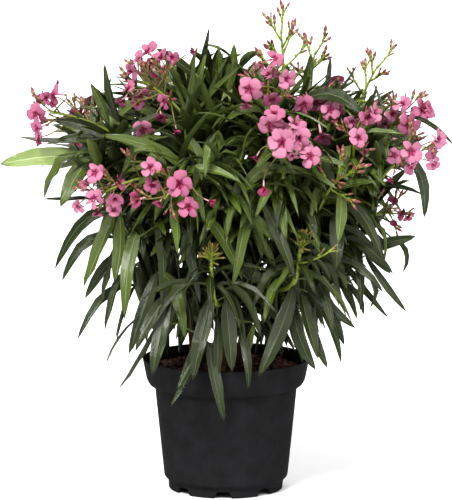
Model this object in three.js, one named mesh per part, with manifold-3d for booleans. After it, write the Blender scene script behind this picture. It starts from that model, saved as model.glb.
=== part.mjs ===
// A potted oleander: canes that rise from a black nursery pot, fork into boughs, and end in
// masses of long leaves in whorls of three, many of them topped by a head of pink flowers.
//
// Millimetres, +Z up, origin in the middle of the pot's underside, the front towards -Y.
// A place is written [right, back, up]. Canes, boughs and masses grow by one rule from the named
// sizes below. Every random choice is a fixed number worked out from the names' places in the
// lists, so the plant is the same each time.

import * as THREE from "three";
import { mergeVertices } from "three/addons/utils/BufferGeometryUtils.js";
import Module from "manifold-3d";

const wasm = await Module();
wasm.setup();

// Driving dimensions

const GAP = 0.3; // between pieces that touch
const STEPS = 24; // along every curve
const POT = {
  height: 190,
  rim: { radius: 120, bottomRadius: 113.5, depth: 36 },
  body: { topRadius: 102.5, bottomRadius: 89 },
  foot: { radius: 82.5, height: 13, step: 5, ringWidth: 4, floorLift: 10 },
  boss: 15, // the moulding boss in the middle of the underside
  wall: 2.4,
  floor: 13.3, // the height of the inside
  lip: { height: 1.5 }, // the slope at the rim's top
  ledge: { width: 4, height: 3, slope: 1 }, // under the rim
  footEdge: { width: 1.5, height: 2 },
  footLedge: 1,
  notches: { count: 8, width: 18, height: 9, turn: 3 },
  sides: 30,
};
const SOIL = { level: 175, floor: 13.9, floorInset: 2, edgeDrop: 4, edgeWidth: 14 };
const CANE = {
  footRadius: 5.6,
  tipRadius: 4.3,
  flare: 1.45,
  flareHeight: 0.08,
  bendAt: 0.45, // where it turns from upright towards its fork
  sides: 7,
  rings: 6,
};
const BOUGH = {
  footRadius: 3.7,
  tipRadius: 2.5,
  slack: 0.35, // how far it keeps its way at both ends, as a share of its length
  turnOut: 0.35, // how much of its way at its foot is its own, and not its cane's
  sides: 5,
  rings: 4,
};
const TWIG = {
  footRadius: 2.5,
  tipRadius: 1.7,
  length: 105,
  shortest: 55,
  clearOfCane: 26,
  bendAt: 0.45,
  firstWhorl: 0.97, // where the whorls stand, as shares of its length
  lastWhorl: 0.26,
  sides: 3,
  rings: 2,
};
const LEAF = {
  length: 138,
  width: 25,
  thickness: 0.012, // as a share of the length
  perWhorl: 3,
  openNear: 36, // degrees between a leaf and its twig, at the tip and at the foot
  openFar: 84,
  plainAbove: 0.45, // leaves this near the tip of their twig have one bend, the others two
  fullFrom: 0.4, // leaves nearer to the tip than this are shorter
  smallest: 0.7,
  sagNear: 0.45, // shares of its shoot's sag, at the tip and at the foot
  sagFar: 1.15,
  vary: { turn: 14, length: 0.14, opening: 0.15, sag: 0.3 },
  faceUp: 0.65, // how much its upper side faces up, and how much along its twig
  faceAhead: 0.35,
  plainSections: [[0.45, 0.92]], // shares of its length and of its width
  fullSections: [
    [0.34, 0.96],
    [0.7, 0.84],
  ],
  ownFrom: 0.16, // a leaf keeps clear of its own mass past this share of its length
  ownWidth: 0.4,
  pastSpace: 30, // how far a leaf may reach past the space nearest to its own mass
};

// What is tried in turn for a leaf that does not fit: degrees round the twig, and shares of its
// length and of its opening.
const LEAF_TRIES = [
  [0, 1, 1],
  [8, 1, 0.8],
  [-8, 0.95, 1.15],
  [60, 1, 0.9],
  [-60, 1, 0.9],
  [0, 0.8, 0.7],
  [-8, 0.7, 0.6],
];
const HEAD = {
  stalkRadius: 2.1,
  stalkRise: 0.12, // how far its stalk bows up, as a share of its length
  armRadius: 0.8,
  armLength: 30,
  armSpan: 0.7, // the share of the stalk that the arms leave from
  turn: 137.5, // degrees from one arm to the next
  spread: 105,
  faceUp: 0.25,
  vary: { turn: 60, length: 0.3 },
};
const FLOWER = {
  radius: 20,
  throatRadius: 1.1,
  tube: 13,
  petals: 5,
  thickness: 1.6,
  petalOutline: [
    [-36, 0.5],
    [-16, 1],
    [20, 0.94],
  ], // degrees from the petal's middle, and shares of the flower's radius
};
const BUD = { length: 17, radius: 2.7, widestAt: 0.6 };
const HEART = [0, 0, 265]; // the place low in the crown that the shoots fan out from

// The same for a bloom: degrees round its stalk and a share of its arm's length.
const BLOOM_TRIES = [
  [0, 1],
  [45, 1],
  [-45, 1],
  [0, 1.35],
  [90, 1.2],
  [-90, 0.8],
];

// The canes, by where they leave the soil and where they fork.
const CANES = {
  front: { foot: [-6, -30], fork: [-14, -52, 300] },
  middle: { foot: [30, 8], fork: [38, 2, 360] },
  right: { foot: [58, -16], fork: [88, -30, 318] },
  left: { foot: [-46, -6], fork: [-72, -20, 330] },
  back_right: { foot: [22, 50], fork: [42, 76, 322] },
  back_left: { foot: [-34, 46], fork: [-52, 68, 330] },
};

// The masses of foliage. Each has its own bough, which leaves its cane at a share of the cane's
// length, and one to three shoots. A shoot ends at its tip. One that flowers has a head at the end
// of a stalk, with so many open flowers and buds. Sag is how far its leaves hang.
const MASSES = {
  left_far: {
    cane: "left",
    at: 0.9,
    shoots: [
      { tip: [-156, -42, 514], head: [-246, -60, 548], open: 4, buds: 1, sag: 0.8, whorls: 5 },
      { tip: [-218, -60, 484], sag: 0.9, whorls: 3 },
    ],
  },
  left_upper: {
    cane: "left",
    at: 1,
    shoots: [{ tip: [-56, -50, 539], head: [-116, -60, 592], open: 4, buds: 2, sag: 0.4, whorls: 5 }],
  },
  left_low: {
    cane: "left",
    at: 0.72,
    shoots: [
      { tip: [-150, -70, 412], sag: 1.9, whorls: 5 },
      { tip: [-142, -32, 316], sag: 3.2, whorls: 5 },
    ],
  },
  left_front: {
    cane: "front",
    at: 0.88,
    shoots: [
      { tip: [-80, -120, 468], head: [-170, -142, 444], open: 4, buds: 2, sag: 1.5, whorls: 4 },
      { tip: [-35, -150, 480], head: [-84, -186, 442], open: 3, buds: 1, sag: 1.4, whorls: 4 },
    ],
  },
  centre_front: {
    cane: "front",
    at: 1,
    shoots: [
      { tip: [27, -160, 451], sag: 1.7, whorls: 5 },
      { tip: [-14, -126, 404], sag: 2.4, whorls: 5 },
    ],
  },
  front_middle: {
    cane: "front",
    at: 0.72,
    shoots: [
      { tip: [-20, -160, 345], head: [-20, -165, 366], open: 0, buds: 3, sag: 1.9, whorls: 5 },
      { tip: [20, -126, 262], sag: 5, whorls: 4 },
    ],
  },
  front_left: {
    cane: "front",
    at: 0.6,
    shoots: [
      { tip: [-80, -116, 312], sag: 3, whorls: 5 },
      { tip: [-62, -112, 254], sag: 5, whorls: 4 },
    ],
  },
  top_middle: {
    cane: "middle",
    at: 1,
    shoots: [
      { tip: [86, -20, 530], head: [77, -30, 661], open: 0, buds: 7, sag: 0.5, whorls: 4 },
      { tip: [109, 32, 532], head: [128, 32, 628], open: 0, buds: 3, sag: 0.5, whorls: 4 },
    ],
  },
  centre_high: {
    cane: "middle",
    at: 0.86,
    shoots: [
      { tip: [58, -90, 545], head: [58, -108, 598], open: 4, buds: 1, sag: 0.9, whorls: 4 },
      { tip: [81, -140, 478], head: [80, -178, 524], open: 5, buds: 1, sag: 1.4, whorls: 4 },
    ],
  },
  top_left: {
    cane: "back_left",
    at: 1,
    shoots: [
      { tip: [-33, 50, 556], sag: 0.4, whorls: 5 },
      { tip: [22, 34, 546], sag: 0.5, whorls: 5 },
    ],
  },
  right_high: {
    cane: "middle",
    at: 0.74,
    shoots: [{ tip: [180, 46, 520], head: [218, 40, 607], open: 0, buds: 3, sag: 0.7, whorls: 5 }],
  },
  right_mid: {
    cane: "right",
    at: 1,
    shoots: [
      { tip: [135, -44, 520], head: [130, -64, 554], open: 3, buds: 1, sag: 0.9, whorls: 4 },
      { tip: [176, -76, 478], head: [181, -96, 528], open: 3, buds: 1, sag: 1.2, whorls: 4 },
    ],
  },
  right_far: {
    cane: "right",
    at: 0.9,
    shoots: [
      { tip: [224, -10, 498], head: [249, -34, 548], open: 4, buds: 1, sag: 1.0, whorls: 4 },
      { tip: [216, -66, 455], head: [262, -86, 497], open: 4, buds: 1, sag: 1.5, whorls: 4 },
    ],
  },
  right_small: {
    cane: "right",
    at: 0.78,
    shoots: [
      { tip: [196, -20, 392], head: [236, -24, 402], open: 2, buds: 2, sag: 1.2, whorls: 4 },
      { tip: [174, 26, 350], sag: 1.6, whorls: 4 },
    ],
  },
  right_low: {
    cane: "right",
    at: 0.6,
    shoots: [{ tip: [160, -46, 306], sag: 2.8, whorls: 5 }],
  },
  front_right: {
    cane: "right",
    at: 0.68,
    shoots: [
      { tip: [101, -140, 360], head: [105, -146, 380], open: 0, buds: 3, sag: 1.9, whorls: 5 },
      { tip: [92, -110, 266], sag: 4.5, whorls: 4 },
      { tip: [137, -120, 436], head: [156, -142, 466], open: 0, buds: 6, sag: 1.5, whorls: 4 },
    ],
  },
  back_left_high: {
    cane: "back_left",
    at: 0.9,
    shoots: [{ tip: [-72, 112, 566], head: [-88, 118, 620], open: 3, buds: 1, sag: 0.7, whorls: 5 }],
  },
  back_left: {
    cane: "back_left",
    at: 0.78,
    shoots: [
      { tip: [-150, 96, 474], head: [-196, 118, 506], open: 4, buds: 1, sag: 1.2, whorls: 4 },
      { tip: [-112, 172, 400], sag: 1.9, whorls: 5 },
    ],
  },
  back_left_low: {
    cane: "back_left",
    at: 0.62,
    shoots: [{ tip: [-122, 90, 296], sag: 2.2, whorls: 5 }],
  },
  back_top: {
    cane: "back_right",
    at: 1,
    shoots: [{ tip: [24, 120, 556], head: [30, 142, 606], open: 4, buds: 1, sag: 0.8, whorls: 5 }],
  },
  back_right_high: {
    cane: "back_right",
    at: 0.9,
    shoots: [{ tip: [118, 128, 528], head: [146, 156, 572], open: 4, buds: 1, sag: 0.9, whorls: 5 }],
  },
  back_middle: {
    cane: "back_right",
    at: 0.72,
    shoots: [
      { tip: [-6, 188, 446], head: [-10, 228, 474], open: 4, buds: 1, sag: 1.4, whorls: 4 },
      { tip: [-10, 146, 350], sag: 2.2, whorls: 5 },
    ],
  },
  back_right: {
    cane: "back_right",
    at: 0.84,
    shoots: [
      { tip: [192, 112, 452], head: [236, 138, 480], open: 3, buds: 1, sag: 1.4, whorls: 4 },
      { tip: [112, 186, 404], sag: 1.8, whorls: 5 },
    ],
  },
  back_right_low: {
    cane: "back_right",
    at: 0.6,
    shoots: [{ tip: [116, 114, 294], sag: 2.2, whorls: 5 }],
  },
};

const COLOURS = {
  pot: { color: 0x26272a, roughness: 0.55 },
  soil: { color: 0x3a241c, roughness: 1 },
  cane: { color: 0x6b4a36, roughness: 0.85 },
  bough: { color: 0x5a6a38, roughness: 0.75 },
  foliage: { color: 0x2f4a22, roughness: 0.5 },
};

// Small tools

const UP = new THREE.Vector3(0, 0, 1);
const place = (numbers) => new THREE.Vector3(...numbers);
const turned = (degrees) => THREE.MathUtils.degToRad(degrees);
const mix = THREE.MathUtils.lerp;

// A fixed number from 0 to 1 for each list of whole numbers.
function chance(...keys) {
  let hash = 0x811c9dc5;
  for (const key of keys) {
    hash = Math.imul(hash ^ (key + 0x9e37), 0x85ebca6b);
    hash = Math.imul(hash ^ (hash >>> 13), 0xc2b2ae35);
    hash ^= hash >>> 16;
  }
  return (hash >>> 0) / 4294967296;
}
const about = (middle, share, ...keys) => middle * (1 + share * (2 * chance(...keys) - 1));

// The manifold solid of a closed geometry.
function solidOf(geometry) {
  const bare = geometry.clone();
  bare.deleteAttribute("normal");
  bare.deleteAttribute("uv");
  const merged = mergeVertices(bare, 1e-3);
  const kept = [];
  for (let i = 0; i < merged.index.count; i += 3) {
    const [a, b, c] = merged.index.array.slice(i, i + 3);
    if (a !== b && b !== c && c !== a) kept.push(a, b, c);
  }
  return new wasm.Manifold(
    new wasm.Mesh({
      numProp: 3,
      vertProperties: new Float32Array(merged.attributes.position.array),
      triVerts: new Uint32Array(kept),
    }),
  );
}

const largest = (solid) => solid.decompose().sort((a, b) => b.volume() - a.volume())[0];

// A named mesh of a manifold solid.
function meshOf(name, solid, look) {
  const made = solid.getMesh();
  const geometry = new THREE.BufferGeometry();
  geometry.setAttribute("position", new THREE.BufferAttribute(made.vertProperties, 3));
  geometry.setIndex(new THREE.BufferAttribute(made.triVerts, 1));
  const mesh = new THREE.Mesh(geometry, new THREE.MeshStandardMaterial(COLOURS[look]));
  mesh.name = name;
  return mesh;
}

// A closed skin over rings of points, from one end to the other. The points run anticlockwise
// about the way ahead. A ring of one point closes its end in a tip, and others are closed flat.
// Rings of unlike counts are joined in step.
function skin(rings) {
  const starts = [];
  let total = 0;
  for (const ring of rings) {
    starts.push(total);
    total += ring.length;
  }
  const corner = (r, i, sides) => {
    const count = rings[r].length;
    return starts[r] + (Math.floor((i * count) / sides) % count);
  };
  const faces = [];
  for (let r = 1; r < rings.length; r++) {
    const sides = Math.max(rings[r - 1].length, rings[r].length);
    for (let i = 0; i < sides; i++) {
      const [near, nearNext] = [corner(r - 1, i, sides), corner(r - 1, i + 1, sides)];
      const [far, farNext] = [corner(r, i, sides), corner(r, i + 1, sides)];
      if (near !== nearNext) faces.push(near, nearNext, farNext);
      if (far !== farNext) faces.push(near, farNext, far);
    }
  }
  const last = rings.length - 1;
  for (let i = 1; i < rings[0].length - 1; i++) {
    faces.push(starts[0], starts[0] + i + 1, starts[0] + i);
  }
  for (let i = 1; i < rings[last].length - 1; i++) {
    faces.push(starts[last], starts[last] + i, starts[last] + i + 1);
  }
  const geometry = new THREE.BufferGeometry().setFromPoints(rings.flat());
  geometry.setIndex(faces);
  return geometry;
}

// The way square to a curve at one of its steps, turned by degrees round it.
function spokeOf(frames, step, degrees) {
  return frames.normals[step]
    .clone()
    .multiplyScalar(Math.cos(turned(degrees)))
    .addScaledVector(frames.binormals[step], Math.sin(turned(degrees)));
}

// A limb of round section along a curve. The radius is a function of the share of the way along.
function limb(curve, radiusAt, sides, rings) {
  const frames = curve.computeFrenetFrames(STEPS, false);
  const sections = [];
  for (let r = 0; r <= rings; r++) {
    const middle = curve.getPointAt(r / rings);
    const ring = [];
    for (let s = 0; s < sides; s++) {
      const spoke = spokeOf(frames, Math.round((STEPS * r) / rings), (360 * s) / sides);
      ring.push(middle.clone().addScaledVector(spoke, radiusAt(r / rings)));
    }
    sections.push(ring);
  }
  return solidOf(skin(sections));
}

// Pot and soil

// A solid turned about the +Z axis from [radius, height] pairs, anticlockwise round the section.
function turnedSolid(profile) {
  const points = profile.map(([radius, height]) => new THREE.Vector2(radius, height));
  const lathe = new THREE.LatheGeometry(points, POT.sides);
  lathe.rotateX(Math.PI / 2);
  return solidOf(lathe);
}

// The corners of the pot's wall from the foot up, as [radius, height], set in by inset.
function potSection(inset) {
  const { rim, body, foot, height, lip, ledge, footLedge } = POT;
  const shoulder = height - rim.depth;
  return [
    [foot.radius + footLedge - inset, foot.height],
    [body.bottomRadius - inset, foot.height + foot.step],
    [body.topRadius - inset, shoulder - ledge.height - ledge.slope],
    [rim.bottomRadius - ledge.width - inset, shoulder - ledge.height],
    [rim.bottomRadius - inset, shoulder],
    [rim.radius - inset, height - lip.height],
  ];
}

function makePot() {
  const { foot, footEdge, floor, boss, wall, height, notches, rim } = POT;
  const outer = potSection(0);
  const inner = potSection(wall).reverse();
  inner.pop();
  const pot = turnedSolid([
    [0, 0],
    [boss, 0],
    [boss, foot.floorLift],
    [foot.radius - foot.ringWidth, foot.floorLift],
    [foot.radius - foot.ringWidth, 0],
    [foot.radius - footEdge.width, 0],
    [foot.radius, footEdge.height],
    ...outer,
    [rim.radius - wall / 2, height],
    ...inner,
    [foot.radius - wall, floor],
    [0, floor],
  ]);
  const cutters = [];
  for (let i = 0; i < notches.count; i++) {
    const reach = 3 * foot.ringWidth;
    const box = new THREE.BoxGeometry(reach, notches.width, 2 * notches.height);
    box.translate(foot.radius - foot.ringWidth / 2, 0, 0);
    box.rotateZ(turned((360 * i) / notches.count - 90 + notches.turn));
    cutters.push(solidOf(box));
  }
  return pot.subtract(wasm.Manifold.union(cutters));
}

function makeSoil() {
  const { foot, wall } = POT;
  const { level, floor, floorInset, edgeDrop, edgeWidth } = SOIL;
  const walls = potSection(wall + GAP).slice(1, 5);
  const [lowRadius, lowHeight] = walls[3];
  const [highRadius, highHeight] = potSection(wall + GAP)[5];
  const edgeRadius = mix(lowRadius, highRadius, (level - edgeDrop - lowHeight) / (highHeight - lowHeight));
  return turnedSolid([
    [0, floor],
    [foot.radius - wall - floorInset, floor],
    ...walls,
    [edgeRadius, level - edgeDrop],
    [edgeRadius - edgeWidth, level],
    [0, level],
  ]);
}

// Canes and boughs

function caneCurve({ foot, fork }) {
  const ground = place([...foot, SOIL.level + GAP]);
  const top = place(fork);
  const bend = ground.clone().setZ(mix(ground.z, top.z, CANE.bendAt));
  return new THREE.QuadraticBezierCurve3(ground, bend, top);
}

function caneRadius(share) {
  const flare = 1 + (CANE.flare - 1) * Math.exp(-share / CANE.flareHeight);
  return mix(CANE.footRadius, CANE.tipRadius, share) * flare;
}

// The way that a shoot's foot faces: out from the heart of the crown.
function fanned(tip) {
  return place(tip).sub(place(HEART)).normalize();
}

// Where a mass begins, and the way its twigs set off. The twigs are shorter where a cane is near.
function massFoot({ shoots }) {
  const way = new THREE.Vector3();
  const middle = new THREE.Vector3();
  for (const { tip } of shoots) {
    middle.addScaledVector(place(tip), 1 / shoots.length);
    way.add(fanned(tip));
  }
  way.normalize();
  let length = TWIG.length;
  let foot = middle.clone().addScaledVector(way, -length);
  while (length > TWIG.shortest && nearest(foot, canePoints) < TWIG.clearOfCane) {
    length -= 5;
    foot = middle.clone().addScaledVector(way, -length);
  }
  return { foot, way };
}

function boughCurve(mass, cane) {
  const { foot, way } = massFoot(mass);
  const start = cane.getPointAt(mass.at);
  const along = cane.getTangentAt(mass.at);
  if (mass.at === 1) start.addScaledVector(along, GAP);
  const straight = foot.clone().sub(start);
  const slack = BOUGH.slack * straight.length();
  along.lerp(straight.normalize(), mass.at === 1 ? 0 : BOUGH.turnOut).normalize();
  return new THREE.CubicBezierCurve3(
    start,
    start.clone().addScaledVector(along, slack),
    foot.clone().addScaledVector(way, -slack),
    foot,
  );
}

const boughRadius = (share) => mix(BOUGH.footRadius, BOUGH.tipRadius, share);

// Foliage

// The twig of one shoot: it sets off the way the mass faces and turns up towards its tip.
function twigCurve({ foot, way }, tip) {
  const start = foot.clone().addScaledVector(way, GAP);
  const end = place(tip);
  const bend = start.clone().addScaledVector(way, TWIG.bendAt * start.distanceTo(end));
  return new THREE.QuadraticBezierCurve3(start, bend, end);
}

// One leaf: its line, which leaves the twig at an angle and then sags, and its width's direction.
function leafShape(base, twigWay, spoke, opening, length, sag, plain) {
  const out = twigWay
    .clone()
    .multiplyScalar(Math.cos(turned(opening)))
    .addScaledVector(spoke, Math.sin(turned(opening)))
    .normalize();
  const hung = out.clone().addScaledVector(UP, -sag).normalize();
  const middle = base.clone().addScaledVector(out, 0.5 * length);
  const tip = middle.clone().addScaledVector(hung, 0.5 * length);
  const facing = UP.clone().multiplyScalar(LEAF.faceUp).addScaledVector(twigWay, LEAF.faceAhead);
  const across = facing.clone().cross(out);
  if (across.length() < 0.2) across.copy(spoke).cross(twigWay);
  const width = LEAF.width * Math.sqrt(length / LEAF.length);
  const line = new THREE.QuadraticBezierCurve3(base, middle, tip);
  return { line, across: across.normalize(), length, width, plain };
}

// A leaf's rings: its foot, sections of left edge, right edge and keel, and its tip. It can start
// part way out, and spare makes it larger on every side.
function leafRings({ line, across, length, width, plain }, outer = false, spare = 0) {
  const section = (share, part) => {
    const middle = line.getPointAt(share);
    const ahead = line.getTangentAt(share);
    const upper = ahead.cross(across).normalize();
    const half = (width * part) / 2 + spare;
    const rise = (LEAF.thickness * length) / 2 + spare;
    return [
      middle.clone().addScaledVector(across, half).addScaledVector(upper, rise),
      middle.clone().addScaledVector(across, -half).addScaledVector(upper, rise),
      middle.clone().addScaledVector(upper, -rise),
    ];
  };
  const shares = plain ? LEAF.plainSections : LEAF.fullSections;
  const sections = shares.map(([share, part]) => section(share, part));
  const foot = outer ? section(LEAF.ownFrom, LEAF.ownWidth) : [line.getPointAt(0)];
  return [foot, ...sections, [line.getPointAt(1).addScaledVector(line.getTangentAt(1), 2 * spare)]];
}

// A ring of points about a middle, square to the way it faces.
function ringAbout(middle, facing, spots) {
  const side = new THREE.Vector3(0.2, 1, 0.1).cross(facing).normalize();
  const other = facing.clone().cross(side);
  return spots.map(([degrees, radius]) =>
    middle
      .clone()
      .addScaledVector(side, radius * Math.cos(turned(degrees)))
      .addScaledVector(other, radius * Math.sin(turned(degrees))),
  );
}
const threeSpots = (radius) => [0, 120, 240].map((degrees) => [degrees, radius]);

// A flower or a bud with its arm as rings. A flower has a throat, the outline of its petals and
// their middle; a bud is a slim spindle.
function bloomRings({ start, end, way, facing, open, turn }, outer = false, spare = 0) {
  const ahead = (distance) => end.clone().addScaledVector(facing, distance);
  const rings = [ringAbout(end, facing, threeSpots(FLOWER.throatRadius + spare))];
  if (!outer) rings.unshift(ringAbout(start, way, threeSpots(HEAD.armRadius)));
  if (open) {
    const spots = [];
    for (let p = 0; p < FLOWER.petals; p++) {
      const middle = turn + (360 * p) / FLOWER.petals;
      for (const [degrees, part] of FLOWER.petalOutline) {
        spots.push([middle + degrees, part * FLOWER.radius + spare]);
      }
    }
    rings.push(ringAbout(ahead(FLOWER.tube - spare), facing, spots));
    rings.push([ahead(FLOWER.tube + FLOWER.thickness + spare)]);
  } else {
    rings.push(ringAbout(ahead(BUD.widestAt * BUD.length), facing, threeSpots(BUD.radius + spare)));
    rings.push([ahead(BUD.length + 2 * spare)]);
  }
  return rings;
}

// An arm of a flower head: where it leaves the stalk, where it ends and the way it faces.
function headArm(stalk, shoot, k, key, [shift, longer]) {
  const count = shoot.open + shoot.buds;
  const axis = stalk.getTangentAt(1);
  const side = new THREE.Vector3(0, 1, 0).cross(axis).normalize();
  const other = axis.clone().cross(side);
  const rank = (k + 0.5) / count;
  const lean = turned(HEAD.spread * Math.sqrt(rank));
  const turn = turned(HEAD.turn * k + HEAD.vary.turn * chance(...key, k, 1) + shift);
  const way = axis
    .clone()
    .multiplyScalar(Math.cos(lean))
    .addScaledVector(side, Math.sin(lean) * Math.cos(turn))
    .addScaledVector(other, Math.sin(lean) * Math.sin(turn))
    .normalize();
  const length = about(HEAD.armLength, HEAD.vary.length, ...key, k, 2) * longer;
  const start = stalk.getPointAt(1 - HEAD.armSpan * rank);
  return {
    start,
    end: start.clone().addScaledVector(way, length),
    way,
    facing: way.clone().addScaledVector(UP, HEAD.faceUp).normalize(),
    open: (k * shoot.open) % count < shoot.open,
    turn: (360 / FLOWER.petals) * chance(...key, k, 3),
  };
}

function stalkCurve({ tip, head }) {
  const start = place(tip);
  const end = place(head);
  const bend = start.clone().lerp(end, 0.5).addScaledVector(UP, HEAD.stalkRise * start.distanceTo(end));
  return new THREE.QuadraticBezierCurve3(start, bend, end);
}

// The lines that a mass keeps near to itself: its twigs and its flower stalks.
function spineOf(mass) {
  const foot = massFoot(mass);
  const points = [];
  for (const shoot of mass.shoots) {
    points.push(...twigCurve(foot, shoot.tip).getSpacedPoints(5));
    if (shoot.head) points.push(...stalkCurve(shoot).getSpacedPoints(2));
  }
  return points;
}

const nearest = (point, points) => Math.min(...points.map((other) => other.distanceTo(point)));

// What stands already: each piece with its owner, its box, its solid and the part of it that
// others of the same mass keep clear of.
const standing = [];

function stand(owner, solid, outer) {
  standing.push({ owner, solid, outer, box: solid.boundingBox() });
}

function boxesMeet(a, b) {
  return [0, 1, 2].every((axis) => a.min[axis] < b.max[axis] && b.min[axis] < a.max[axis]);
}

// Adds a leaf or a bloom to its mass if it keeps near the mass's spine and meets nothing.
function tryPiece(ringsOf, owner, spines) {
  const points = ringsOf(true, 0).flat();
  const own = spines.find((spine) => spine.owner === owner);
  const inside = points.every((point) => {
    const home = nearest(point, own.points) - LEAF.pastSpace;
    return spines.every((spine) => spine === own || nearest(point, spine.points) > home);
  });
  if (!inside) return undefined;
  const outer = solidOf(skin(ringsOf(true, 0)));
  const grown = solidOf(skin(ringsOf(true, GAP + 0.15)));
  const box = grown.boundingBox();
  for (const piece of standing) {
    if (!boxesMeet(box, piece.box)) continue;
    const meets =
      piece.owner === owner
        ? !outer.intersect(piece.outer).isEmpty()
        : !grown.intersect(piece.solid).isEmpty();
    if (meets) return undefined;
  }
  const solid = solidOf(skin(ringsOf(false, 0)));
  stand(owner, solid, outer);
  return solid;
}

// The blooms at the end of a shoot's stalk. One that meets something is tried another way round or
// with a longer or shorter arm, and then left out.
function addBlooms(owner, shoot, key, spines, solids) {
  const stalk = stalkCurve(shoot);
  for (let k = 0; k < shoot.open + shoot.buds; k++) {
    for (const attempt of BLOOM_TRIES) {
      const arm = headArm(stalk, shoot, k, key, attempt);
      const solid = tryPiece((outer, spare) => bloomRings(arm, outer, spare), owner, spines);
      if (solid) {
        solids.push(solid);
        break;
      }
    }
  }
}

// One whorl of leaves on a shoot's twig. The lowest whorls open widest and hang most. A leaf that
// meets something is tried turned, folded or shorter, and then left out.
function addWhorl(owner, shoot, twig, w, key, spines, solids) {
  const rank = w / (shoot.whorls - 1);
  const frames = twig.computeFrenetFrames(STEPS, false);
  const step = Math.round(STEPS * mix(TWIG.firstWhorl, TWIG.lastWhorl, rank));
  const base = twig.getPointAt(step / STEPS);
  const way = twig.getTangentAt(step / STEPS);
  for (let i = 0; i < LEAF.perWhorl; i++) {
    const keys = [...key, w, i];
    const turn = 30 + 120 * i + 60 * w + LEAF.vary.turn * (chance(...keys, 1) - 0.5);
    const part = mix(LEAF.smallest, 1, Math.min(1, rank / LEAF.fullFrom));
    const grown = about(LEAF.length, LEAF.vary.length, ...keys, 2) * part;
    const open = about(mix(LEAF.openNear, LEAF.openFar, rank), LEAF.vary.opening, ...keys, 3);
    const sagHere = shoot.sag * mix(LEAF.sagNear, LEAF.sagFar, rank);
    const sag = about(sagHere, LEAF.vary.sag, ...keys, 4);
    for (const [shift, shorter, folded] of LEAF_TRIES) {
      const spoke = spokeOf(frames, step, turn + shift);
      const plain = rank < LEAF.plainAbove;
      const leaf = leafShape(base, way, spoke, open * folded, grown * shorter, sag, plain);
      const solid = tryPiece((outer, spare) => leafRings(leaf, outer, spare), owner, spines);
      if (solid) {
        solids.push(solid);
        break;
      }
    }
  }
}

// The plant

const caneCurves = {};
for (const [name, cane] of Object.entries(CANES)) caneCurves[name] = caneCurve(cane);
const canePoints = Object.values(caneCurves).flatMap((curve) => curve.getSpacedPoints(40));

const plant = new THREE.Group();
plant.name = "potted_oleander";
const addPiece = (name, solid, look) => {
  plant.add(meshOf(name, solid, look));
  stand("limb", solid, solid);
};
addPiece("pot", makePot(), "pot");
addPiece("soil", makeSoil(), "soil");

// A bough is cut back from its cane, and from the boughs made before it on that cane.
const cutBack = {};
for (const [name, curve] of Object.entries(caneCurves)) {
  addPiece("cane_" + name, limb(curve, caneRadius, CANE.sides, CANE.rings), "cane");
  cutBack[name] = limb(curve, (share) => caneRadius(share) + GAP, CANE.sides, CANE.rings);
}
const leadersFirst = Object.entries(MASSES).sort(([, a], [, b]) => b.at - a.at);
for (const [name, mass] of leadersFirst) {
  const curve = boughCurve(mass, caneCurves[mass.cane]);
  const whole = limb(curve, boughRadius, BOUGH.sides, BOUGH.rings);
  const bough = mass.at === 1 ? whole : whole.subtract(cutBack[mass.cane]);
  addPiece("bough_" + name, largest(bough), "bough");
  const grown = limb(curve, (share) => boughRadius(share) + GAP, BOUGH.sides, BOUGH.rings);
  cutBack[mass.cane] = cutBack[mass.cane].add(grown);
}

// The masses: first every twig and stalk, then the blooms, then the leaves whorl by whorl.
const masses = Object.entries(MASSES).map(([name, mass], index) => {
  const foot = massFoot(mass);
  const solids = [];
  const twigs = mass.shoots.map((shoot) => twigCurve(foot, shoot.tip));
  for (const twig of twigs) {
    const radiusAt = (share) => mix(TWIG.footRadius, TWIG.tipRadius, share);
    solids.push(limb(twig, radiusAt, TWIG.sides, TWIG.rings));
  }
  for (const shoot of mass.shoots) {
    if (shoot.head) solids.push(limb(stalkCurve(shoot), () => HEAD.stalkRadius, 3, 2));
  }
  for (const solid of solids) stand(name, solid, solid);
  return { name, index, shoots: mass.shoots, twigs, solids };
});
const spines = Object.entries(MASSES).map(([owner, mass]) => ({ owner, points: spineOf(mass) }));
for (const { name, index, shoots, solids } of masses) {
  shoots.forEach((shoot, s) => {
    if (shoot.head) addBlooms(name, shoot, [index, s], spines, solids);
  });
}
const mostWhorls = Math.max(...masses.flatMap(({ shoots }) => shoots.map(({ whorls }) => whorls)));
for (let w = 0; w < mostWhorls; w++) {
  for (const { name, index, shoots, twigs, solids } of masses) {
    shoots.forEach((shoot, s) => {
      if (w < shoot.whorls) addWhorl(name, shoot, twigs[s], w, [index, s], spines, solids);
    });
  }
}
for (const { name, solids } of masses) {
  const whole = wasm.Manifold.union(solids);
  plant.add(meshOf("foliage_" + name, largest(whole), "foliage"));
}

export default plant;
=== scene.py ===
"""A potted oleander in flower: bark, leafy twigs, blossom, soil and a black nursery pot.

Places and sizes are in millimetres until a mesh is made, +Z up, the front towards -Y. A place is
written (right, back, up). Canes, boughs and twigs follow the same rule as the solids they stand for,
and every random choice is a fixed number worked out from a thing's place in the lists.
"""

from __future__ import annotations

import logging
import math
from collections import defaultdict
from dataclasses import dataclass, field
from enum import IntEnum
from functools import cached_property
from typing import NamedTuple

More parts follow.
